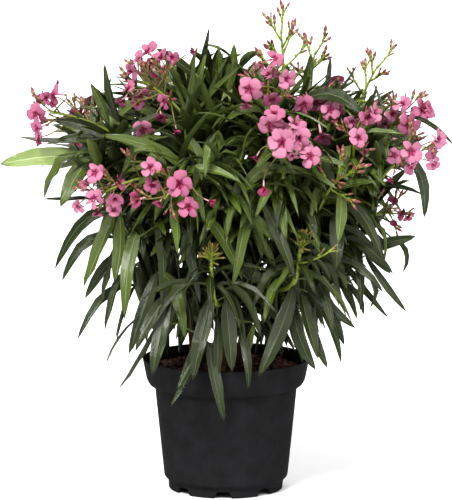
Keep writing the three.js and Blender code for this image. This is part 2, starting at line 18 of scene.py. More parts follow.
import bpy
import numpy as np
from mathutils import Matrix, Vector

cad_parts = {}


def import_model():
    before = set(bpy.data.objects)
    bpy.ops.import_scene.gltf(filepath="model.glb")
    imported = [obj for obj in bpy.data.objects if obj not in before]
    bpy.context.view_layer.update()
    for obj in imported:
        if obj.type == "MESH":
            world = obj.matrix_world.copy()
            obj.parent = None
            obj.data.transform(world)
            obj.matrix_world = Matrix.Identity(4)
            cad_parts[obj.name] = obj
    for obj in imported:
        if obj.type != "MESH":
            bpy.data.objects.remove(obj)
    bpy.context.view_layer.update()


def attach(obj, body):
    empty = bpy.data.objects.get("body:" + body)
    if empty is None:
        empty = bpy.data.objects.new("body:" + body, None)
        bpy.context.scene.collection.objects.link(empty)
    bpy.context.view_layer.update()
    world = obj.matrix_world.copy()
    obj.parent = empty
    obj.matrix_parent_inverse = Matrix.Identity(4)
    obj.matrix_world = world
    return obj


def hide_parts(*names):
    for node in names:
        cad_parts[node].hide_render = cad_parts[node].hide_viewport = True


log = logging.getLogger("oleander")

MM = 0.001
UP = np.array([0.0, 0.0, 1.0])
FRONT = np.array([0.0, -1.0, 0.0])
HEART = np.array([0.0, 0.0, 265.0])
CLEAR = 0.3
GOLDEN_ANGLE = 137.5
VIEW_SLOPE = 0.144
WORD = 2**32
CURVE_SAMPLES = 201
FRAME_STEPS = 24
TINY = 1e-4

Spot = tuple[float, float, float]
Link = bpy.types.NodeSocket


# Numbers and directions


def chance(*keys: int) -> float:
    """Gives a fixed number from 0 to 1 for each list of whole numbers.

    Args:
        keys: The whole numbers, such as a thing's places in its lists.

    Returns:
        The scattered bits of the keys as a share of a whole word of 32 bits.
    """
    value = 0x811C9DC5
    for key in keys:
        value = ((value ^ (key + 0x9E37)) * 0x85EBCA6B) % WORD
        value = ((value ^ (value >> 13)) * 0xC2B2AE35) % WORD
        value ^= value >> 16
    return value / WORD


def about(middle: float, share: float, *keys: int) -> float:
    """Gives middle, changed by up to share of itself: middle * (1 + share * (2 * chance - 1))."""
    return middle * (1 + share * (2 * chance(*keys) - 1))


def mix(a: float, b: float, share: float) -> float:
    """Goes evenly from a to b: a + (b - a) * share."""
    return a + (b - a) * share


def within(value: float) -> float:
    """Keeps a number from 0 to 1."""
    return min(1, max(0, value))


def unit(rows: np.ndarray) -> np.ndarray:
    """Scales each row to length 1."""
    return rows / np.maximum(np.linalg.norm(rows, axis=-1, keepdims=True), 1e-12)


def array(spot: Spot | np.ndarray) -> np.ndarray:
    """Turns a place into an array of floats."""
    return np.asarray(spot, float)


def square_pair(ways: np.ndarray, hint: Spot) -> tuple[np.ndarray, np.ndarray]:
    """Gives two directions square to each way and to each other.

    Args:
        ways: Unit directions, one a row.
        hint: A direction that no way is parallel to.

    Returns:
        side = unit(hint x way) and other = way x side, so side, other and way are right-handed.
    """
    side = unit(np.cross(np.broadcast_to(hint, ways.shape), ways))
    return side, np.cross(ways, side)


def spoke(side: np.ndarray, other: np.ndarray, angle: np.ndarray | float) -> np.ndarray:
    """Gives cos(angle) * side + sin(angle) * other, with the numbers of a direction last."""
    turn = np.asarray(angle)[..., None]
    return np.cos(turn) * side + np.sin(turn) * other


def ring_angles(count: int) -> np.ndarray:
    """Gives the angles of even points round a ring."""
    return np.arange(count) * math.tau / count


def arc_points(corners: np.ndarray, t: np.ndarray) -> np.ndarray:
    """Gives the points of a curve of three corners: (1 - t)^2 * a + 2t(1 - t) * b + t^2 * c."""
    return np.stack([(1 - t) ** 2, 2 * t * (1 - t), t**2], -1) @ corners


def paint(code: str) -> tuple[float, float, float, float]:
    """Turns a colour code such as 3a5128 into linear red, green, blue and an opaque alpha."""
    parts = [int(code[i : i + 2], 16) / 255 for i in (0, 2, 4)]
    return (*(p / 12.92 if p <= 0.04045 else ((p + 0.055) / 1.055) ** 2.4 for p in parts), 1.0)


def lattice(around: np.ndarray, along: np.ndarray, cells: tuple[int, int], seed: int) -> np.ndarray:
    """Smooth noise that closes on itself in the first direction.

    Each lattice point holds an even random number from -1 to 1, and a place between four of them
    takes their blend by s = 3t^2 - 2t^3 each way.

    Args:
        around: The share of the way round, from 0 to 1.
        along: The share of the way along, from 0 to 1.
        cells: How many cells the lattice has round and along.
        seed: The seed of its random numbers.

    Returns:
        The noise, in the shape that around and along give together.
    """
    grid = np.random.default_rng(seed).uniform(-1, 1, (cells[0], cells[1] + 2))
    x, y = np.broadcast_arrays(around * cells[0], np.clip(along, 0, 1) * cells[1])
    i, j = np.floor(x).astype(int), np.floor(y).astype(int)
    s, t = x - i, y - j
    s, t = s * s * (3 - 2 * s), t * t * (3 - 2 * t)
    low, high = i % cells[0], (i + 1) % cells[0]
    near = grid[low, j] * (1 - s) + grid[high, j] * s
    far = grid[low, j + 1] * (1 - s) + grid[high, j + 1] * s
    return near * (1 - t) + far * t


# Curves


@dataclass(frozen=True)
class Curve:
    """A Bezier curve of control points, one a row, that is read by the share of its length."""

    corners: np.ndarray

    def _powers(self, t: np.ndarray) -> np.ndarray:
        """Gives comb(n, k) * t^k * (1 - t)^(n - k) for each t and control point k."""
        n = len(self.corners) - 1
        k = np.arange(n + 1)
        comb = np.array([math.comb(n, i) for i in k], float)
        return comb * t[:, None] ** k * (1 - t[:, None]) ** (n - k)

    @cached_property
    def _table(self) -> tuple[np.ndarray, np.ndarray, float]:
        """Holds even parameters, the share of the length at each, and the length."""
        t = np.linspace(0, 1, CURVE_SAMPLES)
        points = self._powers(t) @ self.corners
        run = np.concatenate([[0], np.cumsum(np.linalg.norm(np.diff(points, axis=0), axis=1))])
        return t, run / run[-1], float(run[-1])

    @property
    def length(self) -> float:
        """The length of the curve."""
        return self._table[2]

    def _parameters(self, shares: np.ndarray | float) -> np.ndarray:
        """Gives the parameters at these shares of the length."""
        return np.interp(np.atleast_1d(shares), self._table[1], self._table[0])

    def at(self, shares: np.ndarray | float) -> np.ndarray:
        """Gives the points at these shares of the length, one a row."""
        return self._powers(self._parameters(shares)) @ self.corners

    def way(self, shares: np.ndarray | float) -> np.ndarray:
        """Gives the unit tangents at these shares of the length, one a row."""
        t = np.clip(self._parameters(shares), TINY, 1 - TINY)
        return unit((self._powers(t + TINY) - self._powers(t - TINY)) @ self.corners)

    @cached_property
    def frames(self) -> tuple[np.ndarray, np.ndarray]:
        """Two square directions at even steps, carried along the curve and not turned about it.

        Each step turns the pair about the cross product of two tangents, by the angle between them.
        """
        ways = self.way(np.linspace(0, 1, FRAME_STEPS + 1))
        start = np.zeros(3)
        start[2 - int(np.argmin(np.abs(ways[0][::-1])))] = 1
        first = [np.cross(ways[0], unit(np.cross(ways[0], start)))]
        for a, b in zip(ways[:-1], ways[1:]):
            axis, last = np.cross(a, b), first[-1]
            if np.linalg.norm(axis) > 1e-9:
                axis, angle = unit(axis), math.acos(min(1.0, float(a @ b)))
                along = axis * (axis @ last) * (1 - math.cos(angle))
                last = spoke(last, np.cross(axis, last), angle) + along
            first.append(last)
        normals = np.array(first)
        return normals, np.cross(ways, normals)


def bezier(*corners: Spot | np.ndarray) -> Curve:
    """Makes a curve of its control points."""
    return Curve(np.array([array(c) for c in corners]))


# Meshes


def placed(name: str, data: bpy.types.ID) -> bpy.types.Object:
    """Puts a new object with these data into the scene."""
    made = bpy.data.objects.new(name, data)
    bpy.context.scene.collection.objects.link(made)
    return made


@dataclass
class Surface:
    """Closed skins that become one mesh: each has a pole, rings of points and a second pole.

    Its columns are the points, faces, slots, maps and margins, with an array for each call of add.
    """

    name: str
    columns: defaultdict[str, list[np.ndarray]] = field(default_factory=lambda: defaultdict(list))
    count: int = 0

    def add(
        self,
        rings: np.ndarray,
        poles: np.ndarray,
        slots: np.ndarray | int = 0,
        across: np.ndarray | None = None,
        along: np.ndarray | None = None,
        ridges: tuple[int, ...] = (),
    ) -> None:
        """Adds skins of one make.

        Point s of ring r of skin n is rings[n, r, s], with the points anticlockwise about the way
        from the first pole to the second. A face joins points s and s + 1 of rings r and r + 1.

        Args:
            rings: The points, as skins x rings x points x 3.
            poles: The two end points of each skin, as skins x 2 x 3.
            slots: The material slot of each face, spread over skins x (rings + 1) x points.
            across: The map's first number at both ends of each strip, as points x 2.
            along: The map's second number at the first pole, each ring and the second pole.
            ridges: The points of a ring whose lines are sharp edges.
        """
        n, r, s = rings.shape[:3]
        own = r * s + 2
        first = self.count + np.arange(n)[:, None, None] * own
        points = np.concatenate([poles[:, :1], rings.reshape(n, r * s, 3), poles[:, 1:]], 1)
        here = 1 + np.arange(r)[:, None] * s + np.arange(s)
        after = np.roll(here, -1, axis=1)
        quads = np.stack([here[:-1], after[:-1], after[1:], here[1:]], -1).reshape(-1, 4)
        foot = np.stack([np.zeros(s, int), after[0], here[0]], -1)
        tip = np.stack([np.full(s, own - 1), here[-1], after[-1]], -1)
        spread = np.broadcast_to(slots, (n, r + 1, s))
        u = np.stack([np.arange(s), np.arange(s) + 1], -1) / s if across is None else across
        v = np.linspace(0, 1, r + 2) if along is None else along
        left, right, middle = u[:, 0], u[:, 1], u.mean(1)
        low, high = v[1:-2, None], v[2:-1, None]
        four = np.broadcast_arrays(left, low, right, low, right, high, left, high)
        bottom = np.broadcast_arrays(middle, v[0], right, v[1], left, v[1])
        top = np.broadcast_arrays(middle, v[-1], left, v[-2], right, v[-2])
        fan_map = np.concatenate([np.stack(bottom, -1), np.stack(top, -1)])
        marks = np.zeros((n, own), int)
        for ridge in ridges:
            marks[:, here[:, ridge]] = first[:, 0] + 1 + ridge
        columns = {
            "points": points.reshape(-1, 3),
            "quads": (quads + first).reshape(-1, 4),
            "fans": (np.concatenate([foot, tip]) + first).reshape(-1, 3),
            "quad_slots": spread[:, 1:-1].reshape(-1),
            "fan_slots": spread[:, [0, -1]].reshape(-1),
            "quad_maps": np.tile(np.stack(four, -1).reshape(-1), n),
            "fan_maps": np.tile(fan_map.reshape(-1), n),
            "margins": marks.reshape(-1),
        }
        for key, column in columns.items():
            self.columns[key].append(column)
        self.count += n * own

    def build(self, materials: list[bpy.types.Material]) -> bpy.types.Object:
        """Makes the Blender object, in metres, with its map and its materials.

        Args:
            materials: The materials, in the order of the slots.

        Returns:
            The object, linked to the scene.
        """
        whole = {key: np.concatenate(column) for key, column in self.columns.items()}
        quads, fans = len(whole["quads"]), len(whole["fans"])
        corners = np.concatenate([whole["quads"].reshape(-1), whole["fans"].reshape(-1)])
        starts = np.concatenate([np.arange(quads) * 4, quads * 4 + np.arange(fans) * 3])
        slots = np.concatenate([whole["quad_slots"], whole["fan_slots"]])
        maps = np.concatenate([whole["quad_maps"], whole["fan_maps"]])
        mesh = bpy.data.meshes.new(self.name)
        mesh.vertices.add(self.count)
        mesh.vertices.foreach_set("co", (whole["points"] * MM).astype(np.float32).reshape(-1))
        mesh.loops.add(len(corners))
        mesh.loops.foreach_set("vertex_index", corners.astype(np.int32))
        mesh.polygons.add(len(starts))
        mesh.polygons.foreach_set("loop_start", starts.astype(np.int32))
        mesh.polygons.foreach_set("material_index", slots.astype(np.int32))
        mesh.update(calc_edges=True)
        mesh.shade_smooth()
        mesh.uv_layers.new(name="spread").uv.foreach_set("vector", maps.astype(np.float32))
        if whole["margins"].any():
            ends = np.empty(len(mesh.edges) * 2, np.int32)
            mesh.edges.foreach_get("vertices", ends)
            one, two = whole["margins"][ends.reshape(-1, 2)].T
            sharp = (one == two) & (one > 0)
            mesh.attributes.new("sharp_edge", "BOOLEAN", "EDGE").data.foreach_set("value", sharp)
        for material in materials:
            mesh.materials.append(material)
        return placed(self.name, mesh)

    def piece(
        self, materials: list[bpy.types.Material], slot: str, nodes: list[str]
    ) -> bpy.types.Object:
        """Makes the object as a piece of the plant's one body, and reports it.

        Args:
            materials: The materials, in the order of the slots.
            slot: The record's slot that its look belongs to; it is not used.
            nodes: The solids that it stands for.

        Returns:
            The piece.
        """
        made = self.build(materials)
        if nodes:
            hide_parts(*nodes)
        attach(made, "root")
        log.info("%s: %d faces", made.name, len(made.data.polygons))
        return made


def turned(radius: np.ndarray, height: np.ndarray) -> np.ndarray:
    """Turns an outline about the middle: (radius * cos a, -radius * sin a, height).

    The points of a ring run clockwise seen from above, as a skin needs whose outside climbs.

    Args:
        radius: The radius of each point, as rings x points.
        height: The height of each point.

    Returns:
        The points, as rings x points x 3.
    """
    angle = ring_angles(radius.shape[1])
    return np.stack([radius * np.cos(angle), -radius * np.sin(angle), height], -1)


def tubes(lines: np.ndarray, radii: np.ndarray, sides: int) -> tuple[np.ndarray, np.ndarray]:
    """Rings round lines: point s of a ring is its middle + radius * (cos a * side + sin a * other).

    Args:
        lines: The middles, as tubes x rings x 3.
        radii: The radius of each ring, as tubes x rings.
        sides: How many points a ring has; a is the full turn times s / sides.

    Returns:
        The rings and the poles, which are the first and last middles.
    """
    side, other = square_pair(unit(np.gradient(lines, axis=1)), (0.31, 0.87, 0.38))
    spokes = spoke(side[:, :, None], other[:, :, None], ring_angles(sides))
    return lines[:, :, None] + radii[:, :, None, None] * spokes, lines[:, [0, -1]]


@dataclass(frozen=True)
class BladeCut:
    """The cross-section of a leaf or a petal, as shares of half its width.

    Attributes:
        upper: Where the points of the upper side lie, from the left margin to the right one.
        under: Where the points of the underside lie, on the way back.
        parts: What each strip between two points of the ring is.
    """

    upper: tuple[float, ...]
    under: tuple[float, ...]
    parts: tuple[int, ...]

    @property
    def map_across(self) -> np.ndarray:
        """The map's number at both ends of each strip: 0 at the left margin, 1 at the right one."""
        spots = np.array(self.upper + self.under + self.upper[:1]) * -0.5 + 0.5
        return np.stack([spots[:-1], spots[1:]], -1)

    def blades(
        self,
        lines: np.ndarray,
        across: np.ndarray,
        halves: np.ndarray,
        lift: np.ndarray,
        depth: np.ndarray,
        twist: np.ndarray,
    ) -> np.ndarray:
        """Rings of thin closed blades along lines.

        At each ring the width's direction is made square to the way ahead and turned by the twist.
        A point of the upper side is line + half * (u * width + lift * (|u|^1.2 - 0.3 * u^4) * rise),
        and one of the underside lies the depth below that, deepest at the rib: depth * (1.6 - |u|).

        Args:
            lines: The middles, as blades x rings x 3.
            across: The width's direction of each blade.
            halves: Half the width at each ring.
            lift: How far the margins rise from the middle, as a share of half the width.
            depth: The thickness at each ring.
            twist: The turn about the line at each ring, in radians.

        Returns:
            The rings, as blades x rings x points x 3.
        """
        ways = unit(np.gradient(lines, axis=1))
        flat = np.broadcast_to(across[:, None], lines.shape)
        flat = unit(flat - (flat * ways).sum(-1, keepdims=True) * ways)
        rise = np.cross(ways, flat)
        flat, rise = spoke(flat, rise, twist), spoke(rise, -flat, twist)
        u = np.array(self.upper + self.under)
        under = np.arange(len(u)) >= len(self.upper)
        height = halves[..., None] * lift[..., None] * (np.abs(u) ** 1.2 - 0.3 * u**4)
        height = height - np.where(under, depth[..., None] * (1.6 - np.abs(u)), 0)
        wide = (halves[..., None] * u)[..., None] * flat[:, :, None]
        return lines[:, :, None] + wide + height[..., None] * rise[:, :, None]


# Finishes


@dataclass(frozen=True)
class Nodes:
    """The nodes of one material: its tree and its texture coordinates."""

    tree: bpy.types.NodeTree
    place: bpy.types.Node

    def feed(self, socket: Link, value: object) -> None:
        """Gives a socket its value, or links it from the output that is given."""
        if isinstance(value, Link):
            self.tree.links.new(value, socket)
        else:
            socket.default_value = value

    def add(self, kind: str, **inputs: object) -> bpy.types.Node:
        """Adds a node.

        Args:
            kind: Its kind, after the word ShaderNode.
            inputs: What its inputs are fed; a _ in a name stands for a space.

        Returns:
            The node.
        """
        node = self.tree.nodes.new(f"ShaderNode{kind}")
        for name, value in inputs.items():
            self.feed(node.inputs[name.replace("_", " ")], value)
        return node

    def noise(self, scale: float, detail: float, **inputs: object) -> Link:
        """Adds a noise, over the piece's own space unless it is fed another, and gives its strength."""
        inputs.setdefault("Vector", self.place.outputs["Object"])
        return self.add("TexNoise", Scale=scale, Detail=detail, **inputs).outputs["Fac"]

    def step(self, kind: str, a: Link, b: Link | float = 0.0) -> Link:
        """Adds one step of arithmetic, such as ADD, and gives its outcome."""
        node = self.tree.nodes.new("ShaderNodeMath")
        node.operation = kind
        self.feed(node.inputs[0], a)
        self.feed(node.inputs[1], b)
        return node.outputs[0]


@dataclass(frozen=True)
class Finish:
    """A finish with one plain colour.

    Attributes:
        shine: The specular level.
        relief: The depth of its fine relief, in millimetres.
        grain: How many grains of the relief there are in a metre.
    """

    name: str
    colour: str
    roughness: float
    shine: float
    relief: float
    grain: float

    def material(self) -> bpy.types.Material:
        """Makes the material, whose roughness varies by 0.1 either way with a noise.

        Returns:
            The material.
        """
        made = bpy.data.materials.new(self.name)
        made.use_nodes = True
        made.diffuse_color = paint(self.colour)
        tree = made.node_tree
        nodes = Nodes(tree, tree.nodes.new("ShaderNodeTexCoord"))
        spread = nodes.add(
            "MapRange",
            Value=nodes.noise(self.grain / 6, 3),
            To_Min=max(0.05, self.roughness - 0.1),
            To_Max=min(1.0, self.roughness + 0.1),
        )
        bump = nodes.add("Bump", Strength=1.0, Distance=self.relief * MM, Height=self.height(nodes))
        shader = tree.nodes["Principled BSDF"].inputs
        shader["Base Color"].default_value = paint(self.colour)
        shader["Specular IOR Level"].default_value = self.shine
        nodes.feed(shader["Roughness"], spread.outputs["Result"])
        nodes.feed(shader["Normal"], bump.outputs["Normal"])
        self.dress_colour(nodes, shader["Base Color"])
        return made

    def dress_colour(self, nodes: Nodes, colour: Link) -> None:
        """Leaves the colour plain."""

    def height(self, nodes: Nodes) -> Link:
        """Gives the relief's height from 0 to 1, a fine even grain."""
        return nodes.noise(self.grain, 4)


@dataclass(frozen=True)
class VeinedFinish(Finish):
    """A leaf's blade: side veins that run out and forward from the rib, by the piece's own map."""

    veins: float = 62.0

    def height(self, nodes: Nodes) -> Link:
        """Gives the height of the side veins, softened by a noise.

        It is 0.35 * sin(veins * (v - 0.2 * |u - 0.5|) * tau) + noise, where u is the share of the
        way across the blade and v the share of its length.

        Args:
            nodes: The material's nodes.

        Returns:
            The output that holds the height.
        """
        split = nodes.add("SeparateXYZ", Vector=nodes.place.outputs["UV"])
        side = nodes.step("ABSOLUTE", nodes.step("SUBTRACT", split.outputs["X"], 0.5))
        run = nodes.step("ADD", split.outputs["Y"], nodes.step("MULTIPLY", side, -0.2))
        wave = nodes.step("SINE", nodes.step("MULTIPLY", run, self.veins * math.tau))
        return nodes.step("ADD", nodes.step("MULTIPLY", wave, 0.35), nodes.noise(self.grain, 2))


@dataclass(frozen=True)
class MottledFinish(Finish):
    """A finish of three colours in soft patches, stretched along a limb or even all round.

    Attributes:
        patches: How many patches there are in a metre.
        stretch: How much longer than wide the patches are, up and down.
    """

    dark: str
    light: str
    patches: float
    stretch: float = 1.0

    def dress_colour(self, nodes: Nodes, colour: Link) -> None:
        """Mixes the dark, the middle and the light colour by a noise.

        Args:
            nodes: The material's nodes.
            colour: The socket that takes the mix.
        """
        here = nodes.place.outputs["Object"]
        space = nodes.add("Mapping", Vector=here, Scale=(1, 1, 1 / self.stretch))
        cloud = nodes.noise(self.patches, 6, Roughness=0.65, Vector=space.outputs["Vector"])
        ramp = nodes.add("ValToRGB", Fac=cloud)
        stops = ramp.color_ramp.elements
        stops[0].position, stops[0].color = 0.34, paint(self.dark)
        stops[1].position, stops[1].color = 0.68, paint(self.light)
        stops.new(0.5).color = paint(self.colour)
        nodes.feed(colour, ramp.outputs["Color"])


class Tone(IntEnum):
    """The greens that leaves come in; the pale one is painted light, the glow of a leaf lit through
    from behind.
    """

    DEEP = 0
    MIDDLE = 1
    FRESH = 2
    PALE = 3


class Part(IntEnum):
    """The parts of a leaf."""

    UPPER = 0
    RIB = 1
    UNDER = 2


class Pink(IntEnum):
    """The pinks that flowers come in."""

    PALE = 0
    ROSE = 1
    DEEP = 2


class BlossomPart(IntEnum):
    """The slots of the blossom that follow the petals' three bands of each pink."""

    THROAT = 9
    TUBE = 10
    BUD_TIP = 11
    BUD_SIDE = 12
    CALYX = 13
    YOUNG = 14


class StalkPart(IntEnum):
    """The slots of the stalks: green ones, and the reddish arms among open flowers."""

    GREEN = 0
    RUSSET = 1


LEAF_COLOURS = {
    Tone.DEEP: ("27310d", "566140", "38431f"),
    Tone.MIDDLE: ("48561b", "717e47", "48552a"),
    Tone.FRESH: ("56662a", "80904c", "5b6b2e"),
    # The pale tone paints the light shining through a backlit leaf into its colour.
    Tone.PALE: ("7d8f51", "a9ba80", "84975a"),
}
PETAL_COLOURS = {
    Pink.PALE: ("a82650", "944363", "ad6f87"),
    Pink.ROSE: ("9f1e47", "8b3455", "a05d77"),
    Pink.DEEP: ("911b40", "872444", "8f4260"),
}
LEAF_GLOSS = {Part.UPPER: (0.25, 0.58), Part.RIB: (0.45, 0.5), Part.UNDER: (0.45, 0.5)}
LEAF_RELIEF = {"relief": 0.36, "grain": 150}
LEAF_FINISHES = [
    VeinedFinish(
        f"leaf_{tone.name.lower()}_{part.name.lower()}", codes[part], *LEAF_GLOSS[part], **LEAF_RELIEF
    )
    for tone, codes in LEAF_COLOURS.items()
    for part in Part
]
BLOSSOM_FINISHES = [
    *(
        Finish(f"petal_{pink.name.lower()}_{band}", code, 0.6, 0.22, 0.08, 500)
        for pink, codes in PETAL_COLOURS.items()
        for band, code in enumerate(codes)
    ),
    Finish("throat", "dc5a86", 0.5, 0.3, 0.05, 700),
    Finish("flower_tube", "c79aa0", 0.5, 0.3, 0.05, 700),
    Finish("bud_tip", "7e3f46", 0.45, 0.4, 0.05, 700),
    Finish("bud_side", "94805a", 0.5, 0.4, 0.05, 700),
    Finish("calyx", "6b5a30", 0.55, 0.4, 0.05, 700),
    Finish("young_bud", "7d6c38", 0.5, 0.4, 0.05, 700),
]
STALK_FINISH = Finish("flower_stalk", "7b8b34", 0.5, 0.4, 0.06, 900)
RUSSET_FINISH = Finish("russet_arm", "74683a", 0.5, 0.4, 0.06, 900)
TWIG_FINISH = Finish("green_twig", "4c592c", 0.55, 0.4, 0.08, 700)
CANE_FINISH = MottledFinish("cane_bark", "6b4a38", 0.8, 0.3, 0.5, 700, "3f2b22", "94785c", 160, 3)
BOUGH_FINISH = MottledFinish("bough_bark", "5d6436", 0.7, 0.35, 0.3, 800, "46402a", "7d8450", 190, 3)
POT_FINISH = MottledFinish("pot_plastic", "242425", 0.6, 0.008, 0.06, 1500, "202021", "28282a", 30)
SOIL_FINISH = MottledFinish("potting_soil", "34231c", 0.95, 0.2, 0.9, 420, "19110e", "4f3329", 260)
CHIP_FINISH = MottledFinish("bark_chips", "4e3227", 0.9, 0.2, 0.5, 500, "281913", "6f4b3a", 220)
FLOOR_FINISH = Finish("pale_floor", "e8e8e8", 0.9, 0.1, 0.02, 200)


# Pot and soil


def rounded(corners: np.ndarray, steps: int) -> np.ndarray:
    """Rounds the inner corners of an outline.

    A corner p between its neighbours becomes the curve of p - d * before, p and p + d * after, with
    d its rounding kept under half of either side.

    Args:
        corners: The radius, height and rounding of each corner, one a row.
        steps: How many steps a rounded corner takes.

    Returns:
        The outline as radius and height, one point a row.
    """
    spots = corners[:, :2]
    rows = [spots[:1]]
    for last, spot, following, size in zip(spots[:-2], spots[1:-1], spots[2:], corners[1:-1, 2]):
        before, after = spot - last, following - spot
        reach = min(size, 0.48 * np.linalg.norm(before), 0.48 * np.linalg.norm(after))
        bend = np.array([spot - unit(before) * reach, spot, spot + unit(after) * reach])
        rows.append(arc_points(bend, np.linspace(0, 1, steps)))
    return np.concatenate([*rows, spots[-1:]])


def densified(outline: np.ndarray, longest: float) -> np.ndarray:
    """Puts even points into every long stretch of an outline.

    Args:
        outline: The outline, one point a row.
        longest: How long a stretch may stay.

    Returns:
        The outline with its new points.
    """
    rows = [outline[:1]]
    for a, b in zip(outline[:-1], outline[1:]):
        parts = max(1, math.ceil(np.linalg.norm(b - a) / longest))
        rows.append(a + (b - a) * (np.arange(1, parts + 1) / parts)[:, None])
    return np.concatenate(rows)


@dataclass(frozen=True)
class NurseryPot:
    """A round pot of black moulded plastic, with a deep rim, a stepped foot and drain notches."""

    height: float = 190
    rim_radius: float = 120
    rim_low_radius: float = 113.5
    rim_depth: float = 36
    body_top_radius: float = 102.5
    body_low_radius: float = 89
    foot_radius: float = 82.5
    foot_height: float = 13
    foot_step: float = 5
    ring_width: float = 4
    floor_lift: float = 10
    boss_radius: float = 15
    wall: float = 2.4
    notch_count: int = 8
    notch_top: float = 15
    notch_bottom: float = 27
    notch_height: float = 9.4
    notch_turn: float = 3
    around: int = 320

    def outline(self) -> np.ndarray:
        """Gives the outline from the middle of the underside to the middle of the floor's top."""
        foot, ring, hub = self.foot_radius, self.foot_radius - self.ring_width, self.boss_radius
        low, high, rim = self.body_low_radius, self.body_top_radius, self.rim_radius
        lip, shoulder, wall = self.rim_low_radius, self.height - self.rim_depth, self.wall
        step = self.foot_height + self.foot_step
        corners = [
            (hub * 0.5, 0, 0),
            (hub, 0, 1),
            (hub, self.floor_lift, 1),
            (ring, self.floor_lift, 1),
            (ring, 0, 1),
            (foot, 0, 2.6),
            (foot + 1, self.foot_height, 1.5),
            (low, step, 3),
            (high, shoulder - 4, 1.2),
            (lip - 4, shoulder - 3, 5),
            (lip + 0.6, shoulder + 5, 7),
            (rim, self.height - 0.6, 1.2),
            (rim - wall / 2, self.height, 1),
            (rim - wall, self.height - 1.5, 1),
            (lip - wall, shoulder, 3),
            (lip - 4 - wall, shoulder - 3, 2),
            (high - wall, shoulder - 4, 1),
            (low - wall, step, 2),
            (foot - wall, self.foot_height + 0.3, 1),
            (8, self.foot_height + 0.3, 0),
        ]
        return densified(rounded(np.array(corners), 6), 9)

    def notch_lift(self, angle: np.ndarray) -> np.ndarray:
        """Gives how high the foot's edge is cut at each angle.

        The cut is notch_height * clip((outer - d) / (outer - inner), 0, 1) smoothed by 3t^2 - 2t^3,
        where d is the arc to the nearest notch's middle and inner and outer are half its two widths.

        Args:
            angle: The angles round the pot, in radians.

        Returns:
            The height of the cut at each.
        """
        pitch = math.tau / self.notch_count
        away = (angle - math.radians(self.notch_turn - 90) + pitch / 2) % pitch - pitch / 2
        arc = np.abs(away) * self.foot_radius
        t = np.clip((self.notch_bottom - 2 * arc) / (self.notch_bottom - self.notch_top), 0, 1)
        return self.notch_height * t * t * (3 - 2 * t)

    def build(self) -> None:
        """Makes the pot: the outline turned about the middle, its foot's edge lifted at the notches."""
        outline = self.outline()
        radius = np.broadcast_to(outline[:, :1], (len(outline), self.around))
        height = np.broadcast_to(outline[:, 1:], radius.shape)
        ring = self.foot_radius - self.ring_width
        top = np.where(radius < ring + 1.2, self.floor_lift, self.foot_height)
        lift = self.notch_lift(ring_angles(self.around))
        low = (radius > ring - 1.5) & (height < self.floor_lift - 0.01)
        rings = turned(radius, np.where(low, lift + height * (top - lift) / top, height))
        poles = np.array([[[0, 0, outline[0, 1]], [0, 0, outline[-1, 1]]]])
        surface = Surface("pot_shell")
        surface.add(rings[None], poles)
        surface.piece([POT_FINISH.material()], "pot_plastic", ["pot"])


